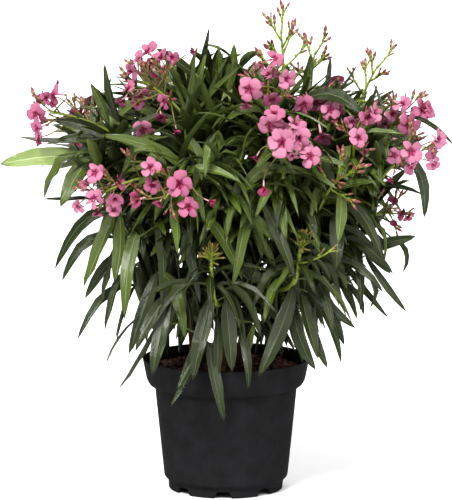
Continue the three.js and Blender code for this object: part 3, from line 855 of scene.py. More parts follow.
@dataclass(frozen=True)
class PottingSoil:
    """Coarse peat with chips of bark, filling the pot to a thumb's breadth under its rim.

    Attributes:
        side: The radius and height of its side, which follows the pot's wall with a little air.
        layers: The strength, cells and seed of each layer of noise on its top.
    """

    level: float = 173.6
    edge_drop: float = 4
    edge_width: float = 14
    edge_radius: float = 114.2
    bottom: float = 14
    side: tuple[tuple[float, float], ...] = (
        (113, 165), (110.7, 154.2), (99.5, 149.5), (86.2, 18.5), (60, 14),
    )
    lump: float = 2.2
    layers: tuple[tuple[float, tuple[int, int], int], ...] = (
        (0.6, (14, 6), 11),
        (0.5, (40, 18), 12),
        (0.35, (110, 44), 13),
    )
    around: int = 180
    chips: int = 1500

    def top(self, radius: np.ndarray, angle: np.ndarray) -> np.ndarray:
        """Gives the height of the soil's top.

        It is level + lump * noise - edge_drop * t^2, where t goes from 0 to 1 over the edge's width.

        Args:
            radius: The radius of each point.
            angle: Its angle, in radians.

        Returns:
            The height of each point.
        """
        t = np.clip((radius - self.edge_radius + self.edge_width) / self.edge_width, 0, 1)
        share, turn = radius / self.edge_radius, angle / math.tau
        noise = sum(high * lattice(turn, share, cells, seed) for high, cells, seed in self.layers)
        return self.level - self.edge_drop * t * t + self.lump * noise * np.clip(share * 3, 0.2, 1)

    def build(self) -> None:
        """Makes the soil's body and the loose chips on it."""
        spread = np.concatenate([[2.0], np.linspace(5, self.edge_radius, 46)])
        radius = np.broadcast_to(spread[:, None], (len(spread), self.around))
        height = self.top(radius, ring_angles(self.around))
        wall = np.broadcast_to(np.array(self.side)[:, None], (len(self.side), self.around, 2))
        section = np.concatenate([np.stack([radius, height], -1), wall])[::-1]
        poles = np.array([[[0, 0, self.bottom], [0, 0, float(height[0].mean())]]])
        body = Surface("soil_body")
        body.add(turned(section[..., 0], section[..., 1])[None, :, ::-1], poles)
        body.piece([SOIL_FINISH.material()], "potting_soil", ["soil"])
        self.loose_chips()

    def loose_chips(self) -> None:
        """Makes the chips: short flat slabs with six uneven corners round, strewn over the top."""
        rng = np.random.default_rng(21)
        n = self.chips
        radius = (self.edge_radius - 6) * np.sqrt(rng.uniform(0.0, 1, n))
        angle = rng.uniform(0, math.tau, n)
        size = rng.uniform(1.2, 3.4, n) * np.where(rng.uniform(0, 1, n) < 0.12, 1.9, 1)
        height = self.top(radius, angle % math.tau) + 0.4
        middle = np.stack([radius * np.cos(angle), radius * np.sin(angle), height], -1)
        way = unit(rng.normal(0, 1, (n, 3)) * [1, 1, 0.35])
        long, thick = size * rng.uniform(0.9, 2.2, n), size * rng.uniform(0.25, 0.5, n)
        reach = (way * long[:, None])[:, None]
        side, other = square_pair(way, (0.05, 0.1, 1.0))
        broad, flat = side * size[:, None] * 0.8, other * thick[:, None]
        spokes = spoke(broad[:, None, None], flat[:, None, None], ring_angles(6))
        line = middle[:, None] + reach * np.array([[-1], [0.8]])
        poles = middle[:, None] + reach * np.array([[-1.1], [0.95]])
        chips = Surface("soil_chips")
        chips.add(line[:, :, None] + spokes * rng.uniform(0.65, 1.2, (n, 2, 6, 1)), poles)
        chips.piece([CHIP_FINISH.material()], "potting_soil", []).data.shade_flat()


# Canes and boughs


@dataclass(frozen=True)
class Cane:
    """A main stem from its foot in the soil, which is given as right and back, to its fork."""

    foot: tuple[float, float]
    fork: Spot
    ground: float = 175 + CLEAR
    bend: float = 0.45
    foot_radius: float = 5.6
    tip_radius: float = 4.3
    flare: float = 0.45
    flare_height: float = 0.08

    @cached_property
    def curve(self) -> Curve:
        """The curve, which leaves the ground upright and bends at a share of its height."""
        height = mix(self.ground, self.fork[2], self.bend)
        return bezier((*self.foot, self.ground), (*self.foot, height), self.fork)

    def radius(self, share: np.ndarray) -> np.ndarray:
        """Gives mix(foot, tip, share) * (1 + flare * exp(-share / flare_height))."""
        even = mix(self.foot_radius, self.tip_radius, share)
        return even * (1 + self.flare * np.exp(-share / self.flare_height))


@dataclass(frozen=True)
class BarkRelief:
    """The relief of a limb's bark: a swelling and three leaf scars at every node, and ridges.

    The swelling, scars and ridges are shares of the radius. The pitch lies between two nodes and the
    spacing between two rings.
    """

    pitch: float
    swelling: float
    scar: float
    ridge: float
    sides: int
    spacing: float = 1.6
    node_width: float = 2.2
    grain_length: float = 9

    def factor(self, run: np.ndarray, length: float, seed: int) -> np.ndarray:
        """Gives what the radius is multiplied by.

        It is 1 + swelling * n + scar * n * c + ridge * noise, where n = exp(-(d / node_width)^2) with d
        the distance to the nearest node, and c = max(0, cos(3 * angle + pi * node))^6.

        Args:
            run: The distance along the limb, one a ring.
            length: The limb's length.
            seed: The seed of its noise.

        Returns:
            The factor, as rings x points.
        """
        turn = np.arange(self.sides) / self.sides
        node = np.round(run / self.pitch)
        near = np.exp(-(((run - node * self.pitch) / self.node_width) ** 2))[:, None]
        scars = np.maximum(0, np.cos(3 * turn * math.tau + 3 * node[:, None] * math.pi / 3)) ** 6
        share = (run / length)[:, None]
        cells = max(3, int(length / self.grain_length))
        grain = 0.6 * lattice(turn[None], share, (9, cells), seed)
        grain = grain + 0.4 * lattice(turn[None], share, (18, cells * 4), seed + 1)
        return 1 + self.swelling * near + self.scar * near * scars + self.ridge * grain

    def rings(self, curve: Curve) -> np.ndarray:
        """Gives the share of the length at each ring of a limb."""
        return np.linspace(0, 1, int(curve.length / self.spacing))

    def add_limb(self, surface: Surface, curve: Curve, radius: np.ndarray, seed: int) -> None:
        """Adds a limb to a surface: each ring's radius times the relief's factor.

        Args:
            surface: What it is added to.
            curve: The limb's middle line.
            radius: The radius at each of its rings.
            seed: The seed of its noise.
        """
        shares = self.rings(curve)
        line = curve.at(shares)[None]
        rings, poles = tubes(line, np.ones((1, len(shares))), self.sides)
        factor = radius[:, None] * self.factor(shares * curve.length, curve.length, seed)
        surface.add(line[:, :, None] + (rings - line[:, :, None]) * factor[..., None], poles)


CANE_RELIEF = BarkRelief(pitch=24, swelling=0.05, scar=0.14, ridge=0.075, sides=28)
BOUGH_RELIEF = BarkRelief(pitch=17, swelling=0.06, scar=0.16, ridge=0.04, sides=18)


# The plant's table


@dataclass(frozen=True)
class Head:
    """A flower head.

    Attributes:
        at: Where its stalk ends.
        flowers: Its flowers: right, back and up from there, size and openness from 0 to 1.
        sprigs: How many sprigs of buds it has.
        aim: The way its flowers mostly face, if it is neither the front nor the back.
        wheel: How many open flowers stand round it evenly, beside the ones given.
        side: Where one long sprig ends, if it has one.
    """

    at: Spot
    flowers: tuple[tuple[float, float, float, float, float], ...] = ()
    sprigs: int = 0
    aim: Spot | None = None
    wheel: int = 0
    side: Spot | None = None

    @property
    def outlook(self) -> np.ndarray:
        """The way its flowers mostly face: its own aim, or else the nearer of front and back."""
        return unit(array(self.aim or (self.at[0] / 650, 1 if self.at[1] > 60 else -1, 0.12)))

    def blooms(self) -> np.ndarray:
        """Gives every flower.

        Flower k of a wheel of n stands at the golden angle times k about the head's outlook, at the
        distance 34 * sqrt((k + 0.5) / n).

        Returns:
            The place, size and openness of each, one a row.
        """
        own = [(*(array(self.at) + array(f[:3])), f[3], f[4]) for f in self.flowers]
        side, other = square_pair(self.outlook[None], UP)
        for k in range(self.wheel):
            reach = 34 * math.sqrt((k + 0.5) / self.wheel)
            draw = chance(round(self.at[0]) & 1023, k)
            spot = array(self.at) + self.outlook * (12 - 0.3 * reach + 10 * draw)
            spot = spot + spoke(side[0], other[0], math.radians(GOLDEN_ANGLE * k)) * reach
            own.append((*spot, 0.7 + 0.3 * draw, 1.0 if draw < 0.85 else 0.5))
        return np.array(own).reshape(-1, 5)


@dataclass(frozen=True)
class Shoot:
    """A leafy twig of a mass, with what it ends in.

    Attributes:
        tip: Where its leaves end.
        sag: How far its leaves hang.
        whorls: How many whorls of three leaves its solid has.
        head: Its flower head, if it has one.
        young: True if it is green to its tip, with small leaves about a tuft of green buds.
    """

    tip: Spot
    sag: float
    whorls: int
    head: Head | None = None
    young: bool = False


@dataclass(frozen=True)
class Mass:
    """A mass of foliage: the cane and the share of its length that its bough leaves, and shoots."""

    cane: str
    at: float
    shoots: tuple[Shoot, ...]


CANES = {
    "front": Cane((-6, -30), (-14, -52, 300)),
    "middle": Cane((30, 8), (38, 2, 360)),
    "right": Cane((58, -16), (88, -30, 318)),
    "left": Cane((-46, -6), (-72, -20, 330)),
    "back_right": Cane((22, 50), (42, 76, 322)),
    "back_left": Cane((-34, 46), (-52, 68, 330)),
}

LEFT_FAR_FLOWERS = (
    (7, -14, 27, 1.05, 1), (-8, 6, 17, 0.5, 0.5), (-17, -4, -3, 0.85, 1), (-15, -18, -20, 0.85, 1),
    (-16, 0, -35, 0.7, 1), (-4, 4, 20, 0.6, 1),
)
LEFT_UPPER_FLOWERS = (
    (9, -14, 40, 0.9, 1), (-4, -8, 31, 0.8, 1), (-15, 6, 11, 0.8, 1), (-18, -22, -10, 0.7, 1),
    (27, 14, 32, 0.7, 1), (40, 16, 31, 0.56, 1), (66, -10, 40, 0.34, 0.3), (-2, 0, -20, 0.7, 1),
    (-26, -10, -25, 0.5, 0.5), (-9, 10, -33, 0.56, 1), (32, -18, -26, 0.65, 1),
    (26, -26, -46, 0.44, 0.5), (3, -30, -65, 0.9, 1), (47, -34, -64, 0.34, 0.3),
)
LEFT_FRONT_FLOWERS = (
    (-9, -14, 30, 0.77, 1), (-19, -4, 14, 0.46, 0.4), (21, 6, 14, 0.54, 0.4), (18, -22, -2, 0.6, 0.4),
    (-10, -12, -6, 0.77, 1), (-33, 0, -17, 0.56, 1), (16, -16, -22, 0.58, 1), (-6, 8, -25, 0.42, 0.5),
)
NEAR_LEFT_FLOWERS = (
    (-18, -4, 43, 0.78, 1), (-16, 6, 18, 0.7, 1), (21, -14, 22, 1.02, 1), (34, -18, -8, 0.84, 1),
    (-33, -10, 1, 0.6, 0.3), (-6, 0, -4, 0.38, 0.3), (61, -6, -2, 0.42, 0.3),
)
CENTRE_HIGH_FLOWERS = (
    (8, -14, 29, 0.77, 1), (2, 6, 5, 0.7, 1), (-26, -22, -12, 0.95, 1), (5, -6, -26, 0.76, 1),
    (-2, 10, -11, 0.56, 1), (-29, -10, -31, 0.45, 0.5),
)
CENTRE_FLOWERS = (
    (-15, -6, 32, 0.8, 1), (-10, 6, 12, 0.9, 1), (13, -14, 18, 0.84, 1), (-3, -26, -4, 1.12, 1),
    (22, -8, -13, 0.77, 1), (34, -16, -23, 0.88, 1), (-38, 0, -24, 0.42, 0.3),
    (-29, -18, -64, 0.5, 0.3), (9, 8, -23, 0.6, 1),
)
RIGHT_MID_FLOWERS = (
    (-22, -14, 6, 0.8, 1), (-3, 6, 7, 0.72, 1), (15, -12, -1, 0.76, 1), (2, -20, -33, 0.76, 0.5),
)
RIGHT_NEAR_FLOWERS = (
    (14, -10, 19, 0.76, 1), (23, -16, 24, 0.68, 1), (2, -22, -10, 0.8, 1), (-6, 10, 10, 0.6, 1),
    (10, 0, -28, 0.34, 0.3),
)
RIGHT_FAR_FLOWERS = (
    (-16, 4, -4, 0.72, 1), (-1, -10, 9, 0.8, 1), (6, -24, -17, 1.05, 1), (36, -6, 3, 0.76, 1),
    (-25, 18, -19, 0.56, 1),
)
RIGHT_LOW_FLOWERS = (
    (30, -14, 17, 0.84, 1), (-28, -4, -6, 0.72, 1), (-6, -20, 0, 0.9, 1), (-7, -12, -19, 0.72, 1),
    (27, 4, -19, 0.64, 1), (-32, -8, -38, 0.3, 0.3),
)
RIGHT_SMALL_FLOWERS = (
    (0, -8, 14, 0.42, 0.5), (9, 4, -1, 0.5, 0.5), (2, -12, -9, 0.34, 0.3), (20, 0, -5, 0.34, 0.3),
)

MASSES = {
    "left_far": Mass("left", 0.9, (
        Shoot((-156, -42, 514), 0.8, 5, Head(
            (-246, -60, 548), LEFT_FAR_FLOWERS, 4, aim=(-0.8, -0.6, 0.1)
        )),
        Shoot((-218, -60, 484), 0.9, 3),
    )),
    "left_upper": Mass("left", 1, (
        Shoot((-56, -50, 539), 0.4, 5, Head(
            (-116, -60, 592), LEFT_UPPER_FLOWERS, 8, aim=(-0.45, -0.8, 0.3)
        )),
    )),
    "left_low": Mass("left", 0.72, (Shoot((-150, -70, 412), 1.9, 5), Shoot((-142, -32, 316), 3.2, 5))),
    "left_front": Mass("front", 0.88, (
        Shoot((-80, -120, 468), 1.5, 4, Head((-170, -142, 444), LEFT_FRONT_FLOWERS, 6)),
        Shoot((-35, -150, 480), 1.4, 4, Head((-84, -186, 442), NEAR_LEFT_FLOWERS, 4)),
    )),
    "centre_front": Mass("front", 1, (Shoot((27, -160, 451), 1.7, 5), Shoot((-14, -126, 404), 2.4, 5))),
    "front_middle": Mass("front", 0.72, (
        Shoot((-20, -160, 345), 1.9, 5, Head((-20, -165, 362), sprigs=8), young=True),
        Shoot((20, -126, 262), 5, 4),
    )),
    "front_left": Mass("front", 0.6, (Shoot((-80, -116, 312), 3, 5), Shoot((-62, -112, 254), 5, 4))),
    "top_middle": Mass("middle", 1, (
        Shoot((86, -20, 530), 0.5, 4, Head((77, -30, 661), sprigs=9)),
        Shoot((109, 32, 532), 0.5, 4, Head((128, 32, 628), sprigs=6)),
    )),
    "centre_high": Mass("middle", 0.86, (
        Shoot((58, -90, 545), 0.9, 4, Head((58, -108, 598), CENTRE_HIGH_FLOWERS, 3, wheel=1)),
        Shoot((81, -140, 478), 1.4, 4, Head((80, -178, 524), CENTRE_FLOWERS, 4, wheel=2)),
    )),
    "top_left": Mass("back_left", 1, (Shoot((-33, 50, 556), 0.4, 5), Shoot((22, 34, 546), 0.5, 5))),
    "right_high": Mass("middle", 0.74, (
        Shoot((180, 46, 520), 0.7, 5, Head((218, 40, 607), sprigs=6)),
    )),
    "right_mid": Mass("right", 1, (
        Shoot((135, -44, 520), 0.9, 4, Head((130, -64, 554), RIGHT_MID_FLOWERS, 3, wheel=1)),
        Shoot((176, -76, 478), 1.2, 4, Head((181, -96, 528), RIGHT_NEAR_FLOWERS, 3)),
    )),
    "right_far": Mass("right", 0.9, (
        Shoot((224, -10, 498), 1.0, 4, Head((249, -34, 548), RIGHT_FAR_FLOWERS, 3, wheel=1)),
        Shoot((216, -66, 455), 1.5, 4, Head((262, -86, 497), RIGHT_LOW_FLOWERS, 4, wheel=1)),
    )),
    "right_small": Mass("right", 0.78, (
        Shoot((196, -20, 392), 1.2, 4, Head((236, -24, 402), RIGHT_SMALL_FLOWERS, 5)),
        Shoot((174, 26, 350), 1.6, 4),
    )),
    "right_low": Mass("right", 0.6, (Shoot((160, -46, 306), 2.8, 5),)),
    "front_right": Mass("right", 0.68, (
        Shoot((101, -140, 360), 1.9, 5, Head(
            (105, -146, 378), sprigs=9, side=(143, -156, 366)
        ), young=True),
        Shoot((92, -110, 266), 4.5, 4),
        Shoot((137, -120, 436), 1.5, 4, Head((156, -142, 466), sprigs=6)),
    )),
    "back_left_high": Mass("back_left", 0.9, (
        Shoot((-72, 112, 566), 0.7, 5, Head((-94, 148, 574), sprigs=4, wheel=7)),
    )),
    "back_left": Mass("back_left", 0.78, (
        Shoot((-150, 96, 474), 1.2, 4, Head((-196, 118, 506), sprigs=4, aim=(-0.6, 0.8, 0.1), wheel=8)),
        Shoot((-112, 172, 400), 1.9, 5),
    )),
    "back_left_low": Mass("back_left", 0.62, (Shoot((-122, 90, 296), 2.2, 5),)),
    "back_top": Mass("back_right", 1, (
        Shoot((24, 120, 556), 0.8, 5, Head((34, 172, 562), sprigs=4, wheel=9)),
    )),
    "back_right_high": Mass("back_right", 0.9, (
        Shoot((118, 128, 528), 0.9, 5, Head((150, 176, 530), sprigs=4, wheel=8)),
    )),
    "back_middle": Mass("back_right", 0.72, (
        Shoot((-6, 188, 446), 1.4, 4, Head((-10, 228, 474), sprigs=4, wheel=9)),
        Shoot((-10, 146, 350), 2.2, 5),
    )),
    "back_right": Mass("back_right", 0.84, (
        Shoot((192, 112, 452), 1.4, 4, Head((236, 138, 480), sprigs=4, aim=(0.6, 0.8, 0.1), wheel=8)),
        Shoot((112, 186, 404), 1.8, 5),
    )),
    "back_right_low": Mass("back_right", 0.6, (Shoot((116, 114, 294), 2.2, 5),)),
}


@dataclass(frozen=True)
class Single:
    """One leaf that stands out of the outline, on a short side twig of its own.

    Attributes:
        foot: Where its stalk begins.
        tip: Where it ends.
        width: Its greatest width.
        arch: How far its middle rises over the straight line, as a share of its length.
        roll: The turn of its blade about its line, in degrees; 0 faces outwards.
        tone: Its green.
        bulge: How far its middle stands to the right of the straight line, as a share of its length.
    """

    foot: Spot
    tip: Spot
    width: float
    arch: float
    roll: float = 0
    tone: Tone = Tone.DEEP
    bulge: float = 0


SINGLES = tuple(Single(*row) for row in (
    # This far-left leaf has the pale tone: painted light, the glow of light shining through it.
    ((-198, -50, 485), (-314, -66, 463), 27, 0.12, 0, Tone.PALE),
    ((-170, -60, 512), (-294, -50, 507), 16, 0.06, 38),
    ((-204, -62, 492), (-256, -78, 430), 23, 0.2, 0, Tone.MIDDLE),
    ((-176, -66, 500), (-224, -88, 418), 26, 0.24),
    ((-150, -84, 408), (-248, -100, 346), 17, 0.46, -20),
    ((-156, -84, 374), (-228, -96, 312), 16, 0.42, -20),
    ((-152, -100, 420), (-188, -118, 306), 22, 0.08, 0, Tone.MIDDLE),
    ((-148, -104, 412), (-159, -122, 318), 21, 0.05, 10, Tone.MIDDLE),
    ((-150, -96, 372), (-171, -108, 286), 14, 0.05, 40),
    ((-126, -80, 306), (-196, -110, 224), 16, 0.38, -10),
    ((-128, -84, 306), (-155, -104, 234), 16, 0.1, 50),
    ((-108, -80, 272), (-173, -110, 201), 12, 0.05, 40),
    ((-98, -90, 250), (-150, -120, 166), 13, 0.05, 40),
    ((-78, -116, 300), (-97, -134, 186), 22, 0.06),
    ((-30, -124, 262), (-69, -142, 167), 17, 0.06),
    ((-26, -124, 232), (-76, -138, 142), 14, 0.05, 20),
    ((-26, -126, 236), (-15, -136, 121), 18, 0.04, -12),
    ((-18, -140, 306), (-29, -149, 182), 22, 0.05),
    ((-12, -126, 272), (-11, -132, 169), 14, 0.04, 30),
    ((0, -130, 298), (14, -127, 192), 22, 0.06),
    ((16, -118, 254), (39, -130, 169), 13, 0.08, 20),
    ((40, -110, 258), (20, -118, 204), 12, -0.2, 0, Tone.FRESH),
    ((94, -128, 314), (56, -137, 183), 23, 0.07),
    ((94, -118, 290), (116, -131, 193), 19, 0.05),
    ((108, -112, 276), (135, -127, 195), 15, 0.05, 30),
    ((104, -122, 304), (139, -137, 216), 20, 0.06),
    ((114, -100, 300), (166, -119, 205), 12, 0.14, 20),
    ((140, -92, 300), (165, -105, 225), 13, 0.06, 30),
    ((112, -120, 322), (170, -137, 248), 16, 0.08, 10),
    ((160, -60, 346), (220, -70, 253), 10, 0.03, 70),
    ((150, -70, 318), (188, -88, 262), 11, 0.22, 30),
    ((172, -70, 362), (196, -100, 275), 14, 0.34, 20),
    ((170, -64, 378), (231, -80, 323), 18, 0.06, 10),
    ((236, -36, 366), (247, -42, 317), 9, 0.1, 20, Tone.DEEP, 0.4),
    ((186, -40, 352), (266, -52, 379), 17, -0.08),
    ((252, -50, 490), (278, -66, 400), 17, 0.1, 10, Tone.DEEP, 0.32),
    ((252, -40, 542), (316, -60, 496), 7, 0.22, 70),
    ((110, -62, 566), (192, -94, 556), 22, 0.3),
    ((-146, -60, 528), (-161, -76, 618), 14, 0.0),
    ((-164, -58, 530), (-191, -66, 589), 15, 0.0, 0, Tone.MIDDLE),
    ((-146, -52, 534), (-178, -60, 584), 15, 0.05, 10),
    ((-44, 30, 586), (-25, 20, 662), 8, 0.0, 40),
    ((-22, 20, 578), (-14, 10, 634), 10, 0.0, 20),
    ((-8, -10, 560), (17, -20, 640), 16, 0.0, 0, Tone.MIDDLE),
    ((-2, 30, 588), (46, 20, 621), 7, 0.2, 50),
    ((196, 10, 530), (215, 2, 582), 11, 0.0),
    ((222, -20, 528), (209, -26, 587), 13, 0.0, 10),
    ((240, -10, 520), (233, -14, 577), 11, 0.0, 10),
    ((244, -20, 524), (252, -22, 575), 12, 0.0, 0, Tone.MIDDLE),
    ((150, 20, 560), (185, 12, 607), 7, 0.1, 40),
    ((-118, -112, 398), (-138, -146, 268), 20, 0.24, -20, Tone.MIDDLE),
    ((-98, -124, 406), (-92, -158, 288), 19, 0.24, 18),
    ((-70, -136, 402), (-22, -166, 300), 18, 0.34, 14),
    ((-40, -150, 418), (28, -172, 330), 17, 0.36, 16, Tone.MIDDLE),
    ((52, -150, 430), (84, -184, 326), 18, 0.3, 18),
    ((30, -150, 430), (16, -188, 318), 18, 0.3, -18, Tone.MIDDLE),
    ((148, -122, 412), (160, -144, 336), 22, 0.2, 10),
    ((158, -126, 448), (147, -154, 377), 18, 0.16, -10, Tone.FRESH),
    ((160, -110, 430), (222, -120, 344), 16, 0.36, 16),
    ((-70, -112, 300), (-118, -140, 218), 18, 0.34, -20),
    ((-92, -110, 330), (-60, -148, 238), 18, 0.3, 16, Tone.MIDDLE),
    ((-57, -95, 521), (-22, -132, 439), 21, 0.1, 0, Tone.MIDDLE),
    ((-15, -90, 523), (-19, -128, 462), 25, 0.1, 10, Tone.MIDDLE),
    ((-67, -70, 542), (-146, -110, 501), 12, 0.36),
    ((-33, -20, 590), (-101, -26, 629), 14, 0.2, 10),
    ((-20, -6, 556), (-13, -14, 634), 13, 0, 0, Tone.MIDDLE),
    ((-51, 0, 556), (-47, -8, 638), 10, 0, 10, Tone.MIDDLE),
    ((-150, -56, 502), (-243, -64, 536), 16, 0.2),
    ((-168, -60, 428), (-257, -64, 423), 9, 0.05, 40),
    ((36, -90, 520), (2, -120, 462), 16, 0.24, 0, Tone.MIDDLE),
    ((18, -100, 500), (-6, -134, 420), 17, 0.2, 10, Tone.MIDDLE),
    ((-104, -90, 520), (-150, -122, 470), 14, 0.3, 0, Tone.MIDDLE),
    ((117, 10, 552), (124, 6, 626), 17, 0.02, 0, Tone.MIDDLE),
    ((130, 14, 550), (151, 10, 622), 15, 0.05, 10),
    ((-186, -70, 486), (-236, -92, 422), 26, 0.3, -15, Tone.MIDDLE),
    ((-146, -90, 352), (-202, -104, 296), 16, 0.36, -10),
    ((-136, -84, 330), (-176, -112, 250), 15, 0.3, 14),
    ((150, -90, 340), (212, -106, 292), 14, 0.4, 10),
    ((156, -84, 372), (236, -100, 330), 14, 0.42, 14),
    ((-96, -108, 330), (-123, -128, 214), 19, 0.1),
    ((196, -62, 346), (261, -78, 275), 11, 0.05, 20),
    ((206, -40, 438), (275, -60, 428), 10, 0.12),
    ((196, -60, 398), (224, -72, 336), 11, 0.15, 0, Tone.MIDDLE, 0.45),
    ((190, -64, 326), (198, -76, 272), 13, 0.05, 0, Tone.DEEP, 0.5),
    ((160, -72, 308), (189, -84, 262), 11, 0.1, 0, Tone.DEEP, 0.45),
))


# Growth


@dataclass(frozen=True)
class Leaf:
    """A grown leaf: the three control points of its line, its width's direction, and its looks.

    Attributes:
        loose: How much of the random twist, bow and roll it takes, from 0 to 1.
        keys: The keys of its random numbers.
    """

    line: np.ndarray
    across: np.ndarray
    width: float
    tone: Tone
    loose: float
    keys: tuple[int, ...]

    @property
    def numbers(self) -> tuple[float, ...]:
        """Its width, the lift of its margins, its twist, bow and roll, and its green."""
        lift = 0.25 + 0.45 * chance(*self.keys, 21)
        most = {22: 1.7, 23: 0.46, 24: 1.1}
        turns = [size * (chance(*self.keys, key) - 0.5) * self.loose for key, size in most.items()]
        return (self.width, lift, *turns, int(self.tone))


LEAF_CUT = BladeCut((1, 0.55, 0.055, -0.055, -0.55, -1), (-0.55, 0, 0.55), (0, 0, 1, 0, 0, 2, 2, 2, 2))
LEAF_STATIONS = np.array([0, 0.03, 0.1, 0.24, 0.42, 0.6, 0.78, 0.92, 1])


def leaf_surface(name: str, leaves: list[Leaf]) -> Surface:
    """Makes leaves.

    A leaf's line is the curve of its three points, bowed sideways by bow * length * t^2. Its width
    at the share t is width * sin(pi * t^0.92)^0.62, and its stalk stays 2.4 mm wide. It is turned
    about its line by roll + twist * t, and its margins wave by a sine along it.

    Args:
        name: The name of the object.
        leaves: The leaves.

    Returns:
        The surface of all of them.
    """
    across = np.array([leaf.across for leaf in leaves])
    width, lift, twist, bow, roll, tone = np.array([leaf.numbers for leaf in leaves]).T[..., None]
    t = LEAF_STATIONS
    lines = arc_points(np.array([leaf.line for leaf in leaves]), t)
    length = np.linalg.norm(np.diff(lines, axis=1), axis=-1).sum(1)
    lines = lines + (bow[:, 0] * length)[:, None, None] * (t**2)[:, None] * across[:, None]
    share = np.sin(math.pi * t**0.92).clip(0) ** 0.62
    halves = np.maximum(width * share / 2, np.where(t < 0.1, 1.2, 0))
    wave = np.sin(2.3 * math.tau * t + 60 * bow)
    depth = 0.5 + 0.4 * (1 - t)[None]
    turn = roll + twist * t + 0.1 * wave
    rings = LEAF_CUT.blades(lines, across, halves, lift * (1 + 0.5 * wave), depth, turn)
    slots = len(Part) * tone.astype(int)[..., None] + np.array(LEAF_CUT.parts)
    edges = (0, len(LEAF_CUT.upper) - 1)
    surface = Surface(name)
    surface.add(rings[:, 1:-1], lines[:, [0, -1]], slots, LEAF_CUT.map_across, t, edges)
    return surface


@dataclass(frozen=True)
class Outline:
    """How far grown leaves reach from the middle: rows of height, left and right reach."""

    rows: tuple[Spot, ...] = (
        (172, 0, 0), (176, 100, 105), (195, 120, 125), (212, 130, 140), (228, 124, 154),
        (245, 130, 164), (262, 132, 174), (288, 124, 186), (315, 130, 208), (345, 156, 238),
        (372, 190, 246), (402, 190, 250), (430, 210, 258), (460, 248, 274), (490, 265, 290),
        (516, 264, 292), (545, 240, 276), (575, 205, 240), (600, 176, 150), (616, 134, 66),
        (636, 44, 12), (650, 3, 3),
    )
    depth: float = 0.9

    def holds(self, points: np.ndarray) -> bool:
        """Says whether (x / reach)^2 + (y / (depth * mean reach))^2 is under 1 for every point."""
        height, left, right = np.array(self.rows).T
        lefts, rights = np.interp(points[:, 2], height, left), np.interp(points[:, 2], height, right)
        reach = np.maximum(np.where(points[:, 0] < 0, lefts, rights), 1)
        back = np.maximum(self.depth * (lefts + rights) / 2, 1)
        return bool(((points[:, 0] / reach) ** 2 + (points[:, 1] / back) ** 2 < 1).all())


def nearest(points: np.ndarray, others: np.ndarray) -> np.ndarray:
    """Gives the distance from each point to the nearest of the others."""
    if not len(others):
        return np.full(len(points), np.inf)
    return np.linalg.norm(points[:, None] - others[None], axis=-1).min(1)


@dataclass(eq=False)
class Growth:
    """What grows on one mass: its bough, each shoot's twig and flower stalk, if any, and the rest."""

    bough: Curve
    twigs: list[Curve]
    stalks: list[Curve | None]
    side_twigs: list[Curve] = field(default_factory=list)
    leaves: list[Leaf] = field(default_factory=list)

    @classmethod
    def of(cls, mass: Mass, foot: np.ndarray, way: np.ndarray) -> Growth:
        """Starts the growth of a mass.

        The bough leaves its cane and arrives along the mass's way. A twig sets off that way and
        turns up to its tip, and a young one bends under its tip and rises upright. A flower stalk
        rises a little in its middle.

        Args:
            mass: The mass.
            foot: Where its bough ends and its twigs begin.
            way: The way that its twigs set off.

        Returns:
            The growth, with no leaves yet.
        """
        cane = CANES[mass.cane].curve
        start, along = cane.at(mass.at)[0], cane.way(mass.at)[0]
        leader = mass.at == 1
        if leader:
            start = start + along * CLEAR
        straight = foot - start
        slack = 0.35 * float(np.linalg.norm(straight))
        along = unit(along + (unit(straight) - along) * (0 if leader else 0.35))
        bough = bezier(start, start + along * slack, foot - way * slack, foot)
        base = foot + way * CLEAR
        twigs, stalks = [], []
        for shoot in mass.shoots:
            tip = array(shoot.tip)
            bend = base + way * 0.45 * float(np.linalg.norm(tip - base))
            twigs.append(bezier(base, tip + [0, 12, -78] if shoot.young else bend, tip))
            if shoot.head:
                end = array(shoot.head.at)
                middle = (tip + end) / 2 + UP * 0.12 * float(np.linalg.norm(end - tip))
                stalks.append(bezier(tip, middle, end))
            else:
                stalks.append(None)
        return cls(bough, twigs, stalks)

    @cached_property
    def spine(self) -> np.ndarray:
        """The points that the mass keeps its leaves near to."""
        lines = [t.at(np.linspace(0, 1, 6)) for t in self.twigs]
        lines += [s.at(np.linspace(0, 1, 3)) for s in self.stalks if s]
        return np.concatenate(lines)


class Whorl(NamedTuple):
    """Where one whorl of leaves grows.

    Attributes:
        twig: The twig it grows on.
        rank: 0 for the whorl at the twig's tip and 1 for the one at its foot.
        size: The leaves' size as a share of the full one.
        tone: Their green.
        spin: The turn of the whorl round the twig, in degrees.
        keys: The keys of its random numbers.
    """

    twig: Curve
    rank: float
    size: float
    tone: Tone
    spin: float
    keys: tuple[int, ...]


